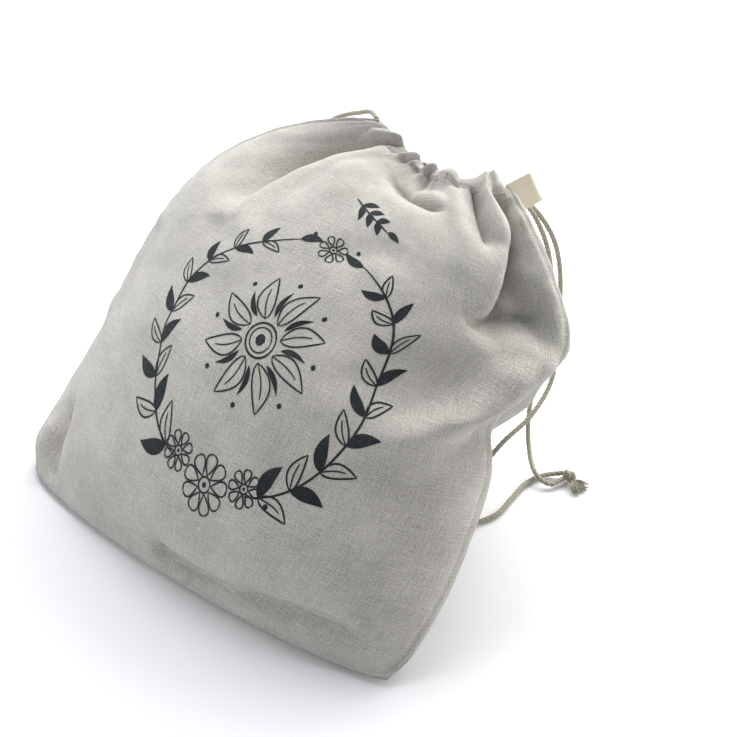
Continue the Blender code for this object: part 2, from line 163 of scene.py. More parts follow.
FOLDS = (
    Fold("lip_crease", F, ((0.06, 0.03), (0.42, 0.04), (0.58, 0.04), (0.78, 0.065), (0.95, 0.07)),
         0.9, -0.30, 0.2, 0.2),
    Fold("left_corner_crease", F, ((0.10, 0.17), (0.09, 0.10), (0.10, 0.03)), 0.9, -0.40, 0.4, 0.3),
    Fold("left_shoulder_trough", F, ((0.35, 0.98), (0.29, 0.88), (0.30, 0.81), (0.34, 0.73),
         (0.33, 0.65), (0.35, 0.57)), 1.6, -0.90, 0.1, 0.45),
    Fold("left_shoulder_roll", F, ((0.40, 0.93), (0.39, 0.83), (0.42, 0.74), (0.42, 0.62)),
         2.0, 0.45, 0.3, 0.5),
    Fold("crown_dimple", F, ((0.46, 0.93), (0.58, 0.88), (0.72, 0.82)), 1.6, -0.65, 0.25, 0.5),
    Fold("right_trough_a", F, ((0.79, 1.00), (0.82, 0.86), (0.85, 0.72)), 1.3, -0.75, 0.0, 0.5),
    Fold("right_ridge", F, ((0.86, 1.00), (0.89, 0.84), (0.88, 0.70)), 1.1, 0.55, 0.0, 0.45),
    Fold("deep_trough_b", F, ((0.92, 1.00), (0.94, 0.82), (0.92, 0.70), (0.875, 0.60)),
         1.2, -1.20, 0.0, 0.3),
    Fold("seam_roll", F, ((0.985, 0.94), (0.985, 0.76), (0.985, 0.62)), 1.0, 0.40, 0.2, 0.3),
    Fold("hip_ridge", F, ((0.985, 0.60), (0.955, 0.53), (0.92, 0.47), (0.86, 0.41), (0.79, 0.35),
         (0.68, 0.28)), 1.6, 1.00, 0.1, 0.5),
    Fold("hip_hollow", F, ((0.93, 0.56), (0.85, 0.50), (0.77, 0.44), (0.66, 0.38)),
         2.2, -0.85, 0.3, 0.5),
    Fold("waist_tuck", F, ((0.99, 0.45), (0.93, 0.40), (0.86, 0.33)), 1.4, -0.55, 0.0, 0.5),
    Fold("left_flank_sag", F, ((0.03, 0.52), (0.10, 0.42), (0.20, 0.34)), 2.0, -0.35, 0.2, 0.5),
    Fold("back_heel_left", B, ((0.02, 0.40), (0.18, 0.47), (0.38, 0.50)), 1.6, -0.70, 0.1, 0.4),
    Fold("back_heel_right", B, ((0.98, 0.47), (0.84, 0.50), (0.66, 0.52)), 1.6, -0.75, 0.1, 0.4),
    Fold("back_roll_left", B, ((0.16, 0.92), (0.22, 0.78), (0.24, 0.60)), 1.7, 0.60, 0.2, 0.4),
    Fold("back_trough_mid", B, ((0.46, 1.00), (0.42, 0.84), (0.44, 0.66)), 1.7, -0.75, 0.0, 0.4),
    Fold("back_trough_right", B, ((0.72, 1.00), (0.76, 0.82), (0.72, 0.62)), 1.6, -0.80, 0.0, 0.4),
    Fold("back_ridge_right", B, ((0.62, 0.98), (0.62, 0.80), (0.58, 0.64)), 1.6, 0.55, 0.2, 0.4),
)

PLEATS = (
    Pleat("pleat_f1", F, 0.09, 0.07, 0.84, 1.0, -0.32),
    Pleat("pleat_f2", F, 0.17, 0.15, 0.87, 0.9, 0.26),
    Pleat("pleat_f3", F, 0.25, 0.23, 0.86, 0.9, -0.30),
    Pleat("pleat_f4", F, 0.415, 0.42, 0.88, 0.8, 0.30),
    Pleat("pleat_f5", F, 0.465, 0.50, 0.87, 0.7, -0.36),
    Pleat("pleat_f6", F, 0.515, 0.55, 0.90, 0.7, 0.34),
    Pleat("pleat_f7", F, 0.565, 0.60, 0.88, 0.7, -0.38),
    Pleat("pleat_f8", F, 0.620, 0.65, 0.90, 0.8, 0.30),
    Pleat("pleat_f9", F, 0.70, 0.71, 0.87, 1.0, 0.30),
    Pleat("pleat_b1", B, 0.08, 0.07, 0.86, 1.0, -0.28),
    Pleat("pleat_b2", B, 0.16, 0.16, 0.88, 0.9, 0.28),
    Pleat("pleat_b3", B, 0.25, 0.25, 0.85, 0.9, -0.32),
    Pleat("pleat_b4", B, 0.34, 0.33, 0.88, 0.9, 0.30),
    Pleat("pleat_b5", B, 0.55, 0.55, 0.86, 0.9, 0.30),
    Pleat("pleat_b6", B, 0.80, 0.82, 0.88, 0.9, 0.26),
    Pleat("pleat_b7", B, 0.90, 0.92, 0.86, 0.9, -0.30),
)

# Creases that only the looks carry, on top of the solid's own folds.
CREASES = (
    Fold("shoulder_valley", F, ((0.25, 1.0), (0.245, 0.955), (0.222, 0.905), (0.232, 0.85),
         (0.243, 0.80), (0.257, 0.735), (0.252, 0.66), (0.27, 0.59)),
         1.2, -2.15, 0.15, 0.35, 0.6, 1.6, 0.50),
    Fold("shoulder_fill", F, ((0.35, 0.98), (0.29, 0.88), (0.30, 0.81), (0.34, 0.73), (0.33, 0.65),
         (0.35, 0.57)), 1.6, 0.50, 0.1, 0.45),
    Fold("shoulder_bulge", F, ((0.305, 0.95), (0.305, 0.85), (0.315, 0.76), (0.345, 0.66)),
         1.0, 0.30, 0.3, 0.5),
    Fold("shoulder_pool", F, ((0.25, 0.60), (0.29, 0.56), (0.35, 0.59)), 1.3, -0.34, 0.3, 0.4),
    Fold("band_line", F, ((0.05, 0.99), (0.085, 0.965), (0.12, 0.92), (0.12, 0.87), (0.105, 0.82),
         (0.08, 0.76)), 0.5, -0.13, 0.1, 0.5, 0.0, 1.5),
    Fold("band_slope", F, ((0.195, 0.99), (0.20, 0.91), (0.205, 0.85), (0.215, 0.79), (0.225, 0.72),
         (0.22, 0.64)), 1.9, -1.15, 0.2, 0.5, 0.2),
    Fold("gather_a", F, ((0.33, 1.0), (0.325, 0.96), (0.31, 0.925)),
         1.0, -0.42, 0.0, 0.6, 0.3, 1.3, 0.12),
    Fold("gather_b", F, ((0.42, 1.0), (0.415, 0.95), (0.395, 0.91)),
         1.0, -0.46, 0.0, 0.6, 0.3, 1.3, 0.12),
    Fold("gather_c", F, ((0.48, 1.0), (0.50, 0.95), (0.495, 0.91)),
         0.8, -0.36, 0.0, 0.6, 0.2, 1.3, 0.08),
    Fold("gather_d", F, ((0.535, 1.0), (0.555, 0.965), (0.575, 0.93), (0.587, 0.88), (0.605, 0.84)),
         0.8, -0.50, 0.2, 0.4, 0.2, 1.3),
    Fold("gather_e", F, ((0.60, 1.0), (0.615, 0.95), (0.625, 0.905), (0.632, 0.86)),
         0.7, -0.36, 0.15, 0.5, 0.0, 1.3),
    Fold("gather_f", F, ((0.71, 1.0), (0.718, 0.95), (0.725, 0.92)),
         0.9, -0.24, 0.0, 0.6, 0.0, 1.4),
    Fold("gather_g", F, ((0.85, 1.0), (0.856, 0.97), (0.866, 0.94)),
         0.8, -0.16, 0.0, 0.5, 0.0, 1.3),
    Fold("mouth_lobe_a", F, ((0.13, 1.0), (0.12, 0.95), (0.12, 0.92)), 1.8, 0.16, 0.0, 0.7),
    Fold("mouth_lobe_b", F, ((0.375, 1.0), (0.365, 0.95), (0.355, 0.92)), 1.1, 0.20, 0.0, 0.7),
    Fold("mouth_lobe_c", F, ((0.66, 1.0), (0.665, 0.95), (0.67, 0.90)), 1.4, 0.20, 0.0, 0.7),
    Fold("mouth_lobe_d", F, ((0.81, 1.0), (0.81, 0.95), (0.80, 0.90)), 2.0, 0.36, 0.0, 0.7),
    Fold("mouth_lobe_e", F, ((0.925, 1.0), (0.925, 0.96), (0.92, 0.93)), 1.3, 0.75, 0.0, 0.6),
    Fold("mouth_fill", F, ((0.90, 1.0), (0.90, 0.965)), 1.1, 0.50, 0.0, 0.8),
    Fold("drop_crease", F, ((0.45, 0.885), (0.53, 0.872), (0.61, 0.858), (0.68, 0.845),
         (0.75, 0.835)), 0.65, -0.60, 0.3, 0.3, 0.3, 1.5, 0.15),
    Fold("drop_lip", F, ((0.50, 0.91), (0.60, 0.895), (0.69, 0.875), (0.73, 0.85)),
         0.6, 0.22, 0.3, 0.4),
    Fold("broad_ridge", F, ((0.70, 0.95), (0.755, 0.88), (0.785, 0.79), (0.79, 0.70),
         (0.775, 0.61)), 1.0, 0.40, 0.2, 0.5),
    Fold("trough_two", F, ((0.775, 1.0), (0.81, 0.925), (0.83, 0.86), (0.837, 0.82), (0.837, 0.78),
         (0.83, 0.72)), 0.70, -0.95, 0.3, 0.4, -0.45, 1.5, 0.25),
    Fold("lobe_two", F, ((0.86, 1.0), (0.872, 0.90), (0.868, 0.84), (0.855, 0.78), (0.84, 0.72),
         (0.822, 0.67)), 0.85, 0.42, 0.0, 0.4, 0.4),
    Fold("trough_three", F, ((0.895, 1.0), (0.905, 0.93), (0.915, 0.88), (0.91, 0.84),
         (0.893, 0.79), (0.88, 0.745), (0.865, 0.705), (0.845, 0.675), (0.828, 0.65), (0.81, 0.615),
         (0.79, 0.585)), 0.85, -2.25, 0.28, 0.22, -0.55, 1.5, 0.60),
    Fold("seam_ridge", F, ((0.972, 0.93), (0.957, 0.86), (0.945, 0.79), (0.938, 0.73),
         (0.943, 0.67)), 0.75, 0.80, 0.2, 0.3),
    Fold("elbow_hollow", F, ((0.79, 0.585), (0.825, 0.612), (0.87, 0.637), (0.915, 0.645),
         (0.965, 0.647)), 1.35, -1.25, 0.3, 0.2, 0.45, 2.0, 0.30),
    Fold("hip_crest", F, ((0.90, 0.575), (0.922, 0.535), (0.925, 0.492), (0.912, 0.445),
         (0.885, 0.405), (0.835, 0.372), (0.77, 0.34)), 1.1, 0.62, 0.15, 0.4, 0.35),
    Fold("hip_crest_low", F, ((0.97, 0.56), (0.962, 0.50), (0.945, 0.45), (0.90, 0.40)),
         0.7, -0.20, 0.2, 0.4),
    Fold("hip_fill", F, ((0.93, 0.56), (0.85, 0.50), (0.77, 0.44), (0.66, 0.38)),
         2.2, 0.55, 0.3, 0.5),
    Fold("hip_line", F, ((0.975, 0.46), (0.94, 0.42), (0.88, 0.385), (0.80, 0.35), (0.73, 0.325)),
         0.5, -0.22, 0.2, 0.5),
    Fold("hip_drag", F, ((0.985, 0.43), (0.92, 0.375), (0.84, 0.33), (0.76, 0.28)),
         0.6, 0.12, 0.2, 0.6),
    Fold("knee_drag", F, ((0.98, 0.36), (0.91, 0.3), (0.84, 0.22)), 0.8, 0.12, 0.2, 0.6),
    Fold("text_hollow", F, ((0.5, 0.6), (0.565, 0.64), (0.63, 0.67), (0.68, 0.69)),
         1.1, -0.26, 0.3, 0.4),
    Fold("middle_swell", F, ((0.44, 0.52), (0.56, 0.54), (0.66, 0.58)), 1.6, 0.16, 0.4, 0.4),
    Fold("corner_drag", F, ((0.95, 0.2), (0.88, 0.13), (0.78, 0.09)), 0.8, 0.12, 0.3, 0.5),
    Fold("lip_left_fill", F, ((0.14, 0.03), (0.30, 0.036), (0.46, 0.04)), 1.0, 0.24, 0.2, 0.3),
    Fold("lip_tight", F, ((0.41, 0.050), (0.47, 0.036), (0.54, 0.033), (0.60, 0.038), (0.685, 0.05),
         (0.77, 0.064), (0.85, 0.07), (0.93, 0.069)), 0.45, -0.60, 0.2, 0.2, 0.45, 1.5),
    Fold("lip_roll", F, ((0.55, 0.012), (0.68, 0.025), (0.80, 0.03), (0.90, 0.032)),
         0.55, 0.28, 0.3, 0.3),
    Fold("lip_nick", F, ((0.445, 0.05), (0.46, 0.03), (0.475, 0.012)),
         0.3, -0.14, 0.3, 0.0, 0.3, 1.3),
    Fold("ear_crease", F, ((0.092, 0.165), (0.096, 0.11), (0.10, 0.06), (0.112, 0.012)),
         0.5, -0.60, 0.25, 0.1, 0.4, 1.4),
    Fold("ear_puff", F, ((0.05, 0.11), (0.045, 0.07), (0.05, 0.035)), 0.9, 0.36, 0.3, 0.3),
    Fold("left_drag_1", F, ((0.02, 0.34), (0.1, 0.28), (0.17, 0.2)), 0.9, 0.16, 0.2, 0.5),
    Fold("left_drag_3", F, ((0.03, 0.45), (0.09, 0.36), (0.12, 0.26)), 0.8, -0.16, 0.2, 0.5),
    Fold("soft_wave_1", F, ((0.1, 0.62), (0.22, 0.52), (0.34, 0.45)), 1.6, 0.14, 0.4, 0.5),
    Fold("soft_wave_2", F, ((0.45, 0.3), (0.56, 0.22), (0.7, 0.17)), 1.8, -0.14, 0.4, 0.5),
    Fold("hip_under", B, ((0.925, 0.63), (0.935, 0.55), (0.945, 0.49), (0.955, 0.42), (0.96, 0.36)),
         1.9, -1.45, 0.25, 0.4),
    Fold("back_crinkle_1", B, ((0.03, 0.46), (0.14, 0.52), (0.28, 0.55)), 0.7, 0.18, 0.2, 0.5),
    Fold("back_crinkle_2", B, ((0.97, 0.53), (0.86, 0.57), (0.7, 0.58)), 0.7, 0.18, 0.2, 0.5),
    Fold("back_crinkle_3", B, ((0.3, 1.0), (0.33, 0.84), (0.33, 0.7)), 0.9, 0.24, 0.1, 0.6),
    Fold("back_crinkle_4", B, ((0.54, 1.0), (0.53, 0.82), (0.5, 0.68)),
         0.8, -0.34, 0.0, 0.6, 0.3, 1.4),
    Fold("back_crinkle_5", B, ((0.84, 1.0), (0.86, 0.82), (0.88, 0.68)),
         0.8, -0.34, 0.0, 0.6, -0.3, 1.4),
    Fold("back_crinkle_6", B, ((0.66, 1.0), (0.68, 0.86), (0.66, 0.74)),
         0.8, -0.30, 0.0, 0.6, 0.3, 1.4),
    Fold("back_crinkle_7", B, ((0.22, 0.72), (0.3, 0.63), (0.42, 0.6)), 0.9, -0.2, 0.3, 0.5),
    Fold("back_crinkle_8", B, ((0.18, 1.0), (0.17, 0.9), (0.14, 0.8)),
         0.9, -0.30, 0.0, 0.6, 0.3, 1.4),
)

CORD_ROUTES = (
    CordRoute("cord_lower", "knot", Lay.LOOSE, ((7.86, 20.88, 19.26), (8.2, 21.4, 18.5),
              (8.9, 22.3, 16.2), (9.4, 23.0, 12.6), (10.2, 22.7, 9.1), (11.0, 21.2, 6.5),
              (11.1, 18.9, 5.3), (10.6, 16.4, 4.4), (10.1, 14.5, 2.6), (10.3, 13.4, 0.9),
              (11.0, 13.5, 0.22), (11.6, 14.6, 0.20), (11.6, 16.6, 0.20), (11.55, 18.2, 0.20),
              (12.0, 19.5, 0.20), (13.0, 20.35, 0.40))),
    CordRoute("cord_upper", "knot", Lay.HANGING, ((7.49, 21.15, 19.20), (8.1, 21.95, 18.2),
              (8.9, 23.1, 16.0), (9.3, 24.1, 12.2), (9.4, 23.9, 8.2), (9.1, 22.6, 4.9),
              (9.6, 21.2, 2.6), (10.4, 20.2, 1.3), (11.1, 19.5, 0.82), (11.75, 19.0, 0.68),
              (12.4, 18.85, 0.46), (12.95, 19.1, 0.30), (13.2, 19.72, 0.32))),
    CordRoute("cord_loop", "object", Lay.HANGING, ((-3.12, 21.44, 20.27), (-3.9, 21.95, 20.2),
              (-5.3, 22.3, 19.5), (-7.0, 22.5, 18.5), (-8.7, 22.6, 17.0), (-10.0, 22.3, 15.2),
              (-10.6, 21.8, 13.2), (-10.1, 21.5, 11.6), (-8.6, 22.2, 11.0), (-6.9, 23.0, 11.8),
              (-5.4, 23.4, 13.8), (-4.0, 23.3, 16.2), (-3.3, 22.8, 17.8), (-2.75, 22.46, 18.7))),
)


# ------------------------------------------------------------ small helpers
def to_frame(points: Array) -> Array:
    """Row-frame centimetres to shared-frame metres."""
    return (np.asarray(points, float) + ROW_SHIFT) * CM


def unit(vectors: Array) -> Array:
    """Vectors along the last axis, scaled to length 1."""
    return vectors / np.maximum(np.linalg.norm(vectors, axis=-1, keepdims=True), TINY)


def axes_at(angle: float) -> tuple[Array, Array]:
    """The flat unit vectors along an angle and to its left."""
    axis = np.array((math.cos(angle), math.sin(angle)))
    return axis, np.array((-axis[1], axis[0]))


def smooth_step(t: Array) -> Array:
    """The usual eased ramp from 0 to 1."""
    t = np.clip(t, 0.0, 1.0)
    return t * t * (3 - 2 * t)


def bell(distance: Array, width: Array, power: float = 2) -> Array:
    """A bell curve: 1 at no distance, small past the width."""
    return np.exp(-(distance / width) ** power)


def smooth_rows(stations: Array, values: Array, at: float) -> Array:
    """Read a smooth curve through table rows at one station.

    Args:
        stations: Rising positions of the rows.
        values: One row of numbers for each station.
        at: The position to read.

    Returns:
        The row of numbers there.
    """
    span = np.diff(stations)
    slope = np.diff(values, axis=0) / span[:, None]
    lean = np.zeros_like(values)
    both = slope[:-1] * span[1:, None] + slope[1:] * span[:-1, None]
    lean[1:-1] = both / (span[:-1] + span[1:])[:, None]
    lean[0], lean[-1] = slope[0], slope[-1]
    i = int(np.clip(np.searchsorted(stations, at, side="right") - 1, 0, len(stations) - 2))
    t = (at - stations[i]) / span[i]
    start = values[i] * (1 + 2 * t) * (1 - t) ** 2 + lean[i] * span[i] * t * (1 - t) ** 2
    end = values[i + 1] * t * t * (3 - 2 * t) + lean[i + 1] * span[i] * t * t * (t - 1)
    return start + end


def run_along(line: Array) -> Array:
    """Distance from the start of a line to each of its points."""
    legs = np.linalg.norm(np.diff(line, axis=0), axis=1)
    return np.concatenate(([0.0], np.cumsum(legs)))


def read_line(line: Array, run: Array, at: Array) -> Array:
    """Points of a line at distances from its start."""
    return np.stack([np.interp(at, run, axis) for axis in line.T], axis=1)


def smooth_route(points: tuple[Point, ...], spacing: float) -> Array:
    """Evenly spaced points on a smooth curve through a route.

    Args:
        points: The route's own points, in cm.
        spacing: Distance between the points wanted, in cm.

    Returns:
        The curve's points.
    """
    route = np.array(points, float)
    stations = run_along(route)
    places = np.linspace(0.0, stations[-1], ROUTE_STEPS)
    fine = np.array([smooth_rows(stations, route, at) for at in places])
    run = run_along(fine)
    count = max(4, int(round(run[-1] / spacing)))
    return read_line(fine, run, np.linspace(0.0, run[-1], count + 1))


@dataclass
class Draft:
    """A mesh being put together: points in cm, texture places and faces."""

    verts: list = field(default_factory=list)
    places: list = field(default_factory=list)
    faces: list = field(default_factory=list)

    def add(self, points: Array, places: Array) -> Array:
        """Append points and their texture places, in metres of cloth.

        Args:
            points: Points in cm, in a list or a grid.
            places: A texture place for each of them.

        Returns:
            The points' numbers, in the same list or grid.
        """
        base = len(self.verts)
        self.verts.extend(points.reshape(-1, 3))
        self.places.extend(np.broadcast_to(places, (*points.shape[:-1], 2)).reshape(-1, 2))
        return np.arange(base, len(self.verts)).reshape(points.shape[:-1])

    def fill(self, ids: Array, flip: bool = False) -> None:
        """Fill a grid of point numbers with quads.

        Args:
            ids: The grid of point numbers.
            flip: Whether the quads face the other way.
        """
        corners = np.stack((ids[:-1, :-1], ids[:-1, 1:], ids[1:, 1:], ids[1:, :-1]), axis=-1)
        corners = corners.reshape(-1, 4)
        self.faces.extend(corners[:, ::-1] if flip else corners)

    def build(self, name: str, finish: Material) -> Object:
        """Make a smooth mesh object in the shared frame and link it.

        Args:
            name: The object's name.
            finish: The piece's material.

        Returns:
            The new object.
        """
        mesh = bpy.data.meshes.new(name)
        faces = [tuple(int(n) for n in face) for face in self.faces]
        mesh.from_pydata(to_frame(np.array(self.verts)).tolist(), [], faces)
        mesh.validate()
        mesh.materials.append(finish)
        mesh.polygons.foreach_set("use_smooth", [True] * len(mesh.polygons))
        loops = np.zeros(len(mesh.loops), dtype=np.int64)
        mesh.loops.foreach_get("vertex_index", loops)
        layer = mesh.uv_layers.new(name="cloth")
        layer.data.foreach_set("uv", np.array(self.places)[loops].ravel())
        made = bpy.data.objects.new(name, mesh)
        bpy.context.scene.collection.objects.link(made)
        return made


def face_outward(made: Object, weld: bool = False) -> None:
    """Turn all faces outward, and with weld first join equal points and drop loose ones.

    Args:
        made: The object to turn.
        weld: Whether to join equal points first.
    """
    bm = bmesh.new()
    bm.from_mesh(made.data)
    if weld:
        loose = [vert for vert in bm.verts if not vert.link_faces]
        bmesh.ops.delete(bm, geom=loose, context="VERTS")
        bmesh.ops.remove_doubles(bm, verts=bm.verts, dist=WELD)
    bmesh.ops.recalc_face_normals(bm, faces=bm.faces)
    bm.to_mesh(made.data)
    bm.free()


def declare(piece: Object, slot: str, *nodes: str) -> Object:
    """Tie a piece to the body and hide the solids it replaces.

    Args:
        piece: The finished object.
        slot: Not used.
        nodes: The solids that the piece stands in for, if any.

    Returns:
        The same piece.
    """
    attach(piece, "root")
    if nodes:
        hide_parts(*nodes)
    log.info("%s: %d faces", piece.name, len(piece.data.polygons))
    return piece


# ------------------------------------------------------------ the cloth form
@dataclass
class ClothForm:
    """The bag's surface, read at any (u, v) of its front or its back.

    u runs from the left seam to the right one and v from the bottom fold to
    the mouth.  Lengths are in cm.  Where a field has three numbers, they are
    a height, a place and a width.  Where it has five, they are a height, a
    beat and a width, then how far and how often the beat wanders.
    """

    strip_width: float = 31.0
    strip_height: float = 39.0
    channel_start: float = 0.955
    channel_rise: float = 0.012
    channel_fullness: float = 0.10
    gather_from: float = 0.80
    gather_shrink: float = 0.85
    floor_blend: float = 0.35
    samples: int = 400
    wave_seed: int = 11
    wave_count: int = 14
    wave_lengths: tuple[float, float] = (2.2, 6.5)
    wave_height: float = 0.035
    pleat_spread: float = 1.4
    pleat_share: float = 0.55
    pleat_fade: float = 0.9
    seam_roll: Point = (0.07, 0.18, 0.16)
    seam_groove: Point = (-0.10, 0.46, 0.15)
    seam_pucker: tuple[float, ...] = (0.018, 2.1, 0.9, 1.7, 11)
    stitch_dip: tuple[float, float] = (-0.07, 0.16)
    stitch_ruffle: tuple[float, ...] = (0.02, 0.95, 0.9, 1.1, 9)
    stitch_offset: float = 0.002
    seam_hold: float = 0.05
    bottom_hold: float = 0.03
    rim_from: float = 0.962
    rim_turn: float = 0.32
    scallop_from: float = 0.93
    rim_scallop: float = 0.7
    scallop_range: tuple[float, float] = (-0.30, 0.70)
    corner_drop: float = 0.45
    crest_base: float = 0.2
    crest_share: float = 1.2

    def row_at(self, v: float, side: Side) -> tuple[Array, Array, Array, float]:
        """Left point, crown, right point and fullness power at height v.

        Args:
            v: Share up the cloth.
            side: The half of the bag.

        Returns:
            The two seam points, the crown between them and the power of the curve.
        """
        stations = np.array([s.v for s in STATIONS])
        values = np.array([(*s.left, *s.front, *s.right, *s.back, s.front_power, s.back_power)
                           for s in STATIONS])
        mix = smooth_rows(stations, values, v)
        if side is Side.FRONT:
            return mix[0:3], mix[3:6], mix[6:9], mix[12]
        return mix[0:3], mix[9:12], mix[6:9], mix[13]

    def rest_on_table(self, z: Array) -> Array:
        """Flatten what would sink below the table, with a soft edge.

        Args:
            z: Heights in cm, some of them below the table.

        Returns:
            Heights of 0 and more.
        """
        blend = self.floor_blend
        soft = (z + blend) ** 2 / (4 * blend)
        return np.where(z > blend, z, np.where(z < -blend, 0.0, soft))

    def section(self, v: float, side: Side, u: Array) -> Array:
        """Half a section's points at shares u of its own length.

        Args:
            v: Share up the cloth.
            side: The half of the bag.
            u: Shares across the cloth.

        Returns:
            One point for each share.
        """
        left, crown, right, power = self.row_at(v, side)
        s = -np.cos(np.linspace(0.0, math.pi, self.samples))
        middle = (left + right) / 2
        reach = (right - left) / 2
        curve = middle + reach * s[:, None] + (crown - middle) * ((1 - s * s) ** power)[:, None]
        curve[:, 2] = self.rest_on_table(curve[:, 2])
        run = run_along(curve)
        return read_line(curve, run, u * run[-1])

    @staticmethod
    def out_normals(grid: Array, side: Side) -> Array:
        """Unit normals of a grid, facing out of the bag."""
        normal = unit(np.cross(np.gradient(grid, axis=1), np.gradient(grid, axis=0)))
        return normal if side is Side.FRONT else -normal

    @staticmethod
    def fade(share: Array, start: float, end: float) -> Array:
        """Rise from the start of a path and fall to its end.

        Args:
            share: Places along a path, from 0 to 1.
            start: Share over which it rises.
            end: Share over which it falls.

        Returns:
            How strongly the fold shows at each place.
        """
        rise = smooth_step(share / start) if start > 0 else np.ones_like(share)
        fall = smooth_step((1 - share) / end) if end > 0 else np.ones_like(share)
        return rise * fall

    def from_seam(self, u: Array) -> Array:
        """Distance across the cloth to the nearer side seam."""
        return np.minimum(u, 1 - u) * self.strip_width

    def along_path(self, path: tuple, u: Array, v: Array) -> tuple[Array, Array, Array, Array]:
        """Measure the cloth against a (u, v) path.

        Args:
            path: The path's points.
            u: Shares across the cloth.
            v: Shares up the cloth.

        Returns:
            The distance to the path, the share along it, 1 on its left or -1
            on its right, and the way back to it.
        """
        knots = np.linspace(0.0, 1.0, len(path))
        fine = np.linspace(0.0, 1.0, 8 * len(path))
        points = np.array([smooth_rows(knots, np.array(path, float), at) for at in fine])
        points = points * (self.strip_width, self.strip_height)
        here = np.stack((u * self.strip_width, v * self.strip_height), axis=-1)
        near = np.full(u.shape, np.inf)
        share = np.zeros(u.shape)
        hand = np.zeros(u.shape)
        back = np.zeros((*u.shape, 2))
        for k in range(len(points) - 1):
            leg = points[k + 1] - points[k]
            away = here - points[k]
            t = np.clip((away @ leg) / (leg @ leg), 0, 1)
            across = away - t[..., None] * leg
            gap = np.linalg.norm(across, axis=-1)
            turn = np.sign(leg[0] * away[..., 1] - leg[1] * away[..., 0])
            closer = gap < near
            back = np.where(closer[..., None], -unit(across), back)
            near = np.where(closer, gap, near)
            share = np.where(closer, (k + t) / (len(points) - 1), share)
            hand = np.where(closer, turn, hand)
        return near, share, hand, back

    def fold_sum(self, folds: tuple[Fold, ...], side: Side, u: Array, v: Array) -> Array:
        """Height of a table of folds.

        Args:
            folds: The table to add up.
            side: The half of the bag.
            u: Shares across the cloth.
            v: Shares up the cloth.

        Returns:
            Relief in cm.
        """
        total = np.zeros(u.shape)
        for fold in folds:
            if fold.side is side:
                gap, share, hand, _ = self.along_path(fold.path, u, v)
                width = fold.half_width * (1 - fold.lean * hand)
                shown = self.fade(share, fold.fade_in, fold.fade_out)
                total += fold.height * bell(gap, width, fold.edge) * shown
        return total

    def tuck_sum(self, side: Side, u: Array, v: Array) -> Array:
        """Sideways shift, along u and v in cm, of the cloth over its creases.

        Args:
            side: The half of the bag.
            u: Shares across the cloth.
            v: Shares up the cloth.

        Returns:
            A pair of shifts for each place.
        """
        total = np.zeros((*u.shape, 2))
        for fold in CREASES:
            if fold.side is side and fold.tuck > 0:
                gap, share, hand, back = self.along_path(fold.path, u, v)
                steep = fold.half_width * (1 - abs(fold.lean))
                crest = self.crest_base + steep * self.crest_share
                pull = gap / crest * np.exp(0.5 - 0.5 * (gap / crest) ** 2)
                pull *= self.fade(share, fold.fade_in, fold.fade_out) * (hand * fold.lean > 0)
                total += fold.tuck * pull[..., None] * back
        return total

    def pleat_sum(self, side: Side, u: Array, v: Array) -> Array:
        """Height of the gathered pleats at the mouth.

        Args:
            side: The half of the bag.
            u: Shares across the cloth.
            v: Shares up the cloth.

        Returns:
            Relief in cm.
        """
        total = np.zeros(u.shape)
        for pleat in PLEATS:
            if pleat.side is side:
                path = ((pleat.u_mouth, 1.0), (pleat.u_low, pleat.v_low))
                gap, share, _, _ = self.along_path(path, u, v)
                shape = bell(gap, pleat.half_width * self.pleat_spread)
                total += pleat.height * shape * self.fade(share, 0, self.pleat_fade)
        return total * self.pleat_share

    def waves(self, side: Side, u: Array, v: Array) -> Array:
        """Slight unevenness of washed cloth.

        Args:
            side: The half of the bag.
            u: Shares across the cloth.
            v: Shares up the cloth.

        Returns:
            Relief in cm.
        """
        rng = np.random.default_rng(self.wave_seed + (side is Side.BACK))
        total = np.zeros(u.shape)
        longest = self.wave_lengths[1]
        for _ in range(self.wave_count):
            angle, phase = rng.uniform(0, 2 * math.pi, 2)
            length = rng.uniform(*self.wave_lengths)
            x = u * self.strip_width * math.cos(angle) + v * self.strip_height * math.sin(angle)
            total += np.sin(2 * math.pi * x / length + phase) * (length / longest)
        return total * self.wave_height / 2

    def sewn_edges(self, u: Array, v: Array) -> Array:
        """Rolls, grooves and puckers along the side seams and the channel.

        Args:
            u: Shares across the cloth.
            v: Shares up the cloth.

        Returns:
            Relief in cm.
        """
        gap = self.from_seam(u)
        total = sum(height * bell(gap - place, width)
                    for height, place, width in (self.seam_roll, self.seam_groove))
        line = (v - self.channel_start - self.stitch_offset) * self.strip_height
        height, width = self.stitch_dip
        total += height * bell(line, width)
        for ripple, share, length, away in (
                (self.seam_pucker, v, self.strip_height, gap),
                (self.stitch_ruffle, u, self.strip_width, line)):
            height, beat, reach, swing, turns = ripple
            wave = np.sin(2 * math.pi * share * length / beat + swing * np.sin(turns * share))
            total += height * wave * bell(away, reach)
        return total

    def height(self, side: Side, u: Array, v: Array) -> Array:
        """All the relief of the cloth above its plain form.

        Args:
            side: The half of the bag.
            u: Shares across the cloth.
            v: Shares up the cloth.

        Returns:
            Relief in cm.
        """
        near_mouth = np.clip((v - self.gather_from) / (1 - self.gather_from), 0, 1)
        total = self.fold_sum(FOLDS, side, u, v) * (1 - self.gather_shrink * near_mouth)
        total += self.pleat_sum(side, u, v)
        channel = smooth_step((v - self.channel_start) / self.channel_rise)
        total += self.channel_fullness * channel
        total += self.fold_sum(CREASES, side, u, v) + self.waves(side, u, v)
        total = total * self.hold_at_seams(u) + self.sewn_edges(u, v)
        return total * np.clip(v / self.bottom_hold, 0, 1)

    def hold_at_seams(self, u: Array) -> Array:
        """0 on the side seams, rising to 1 a little inside them."""
        return np.clip(np.minimum(u, 1 - u) / self.seam_hold, 0, 1)

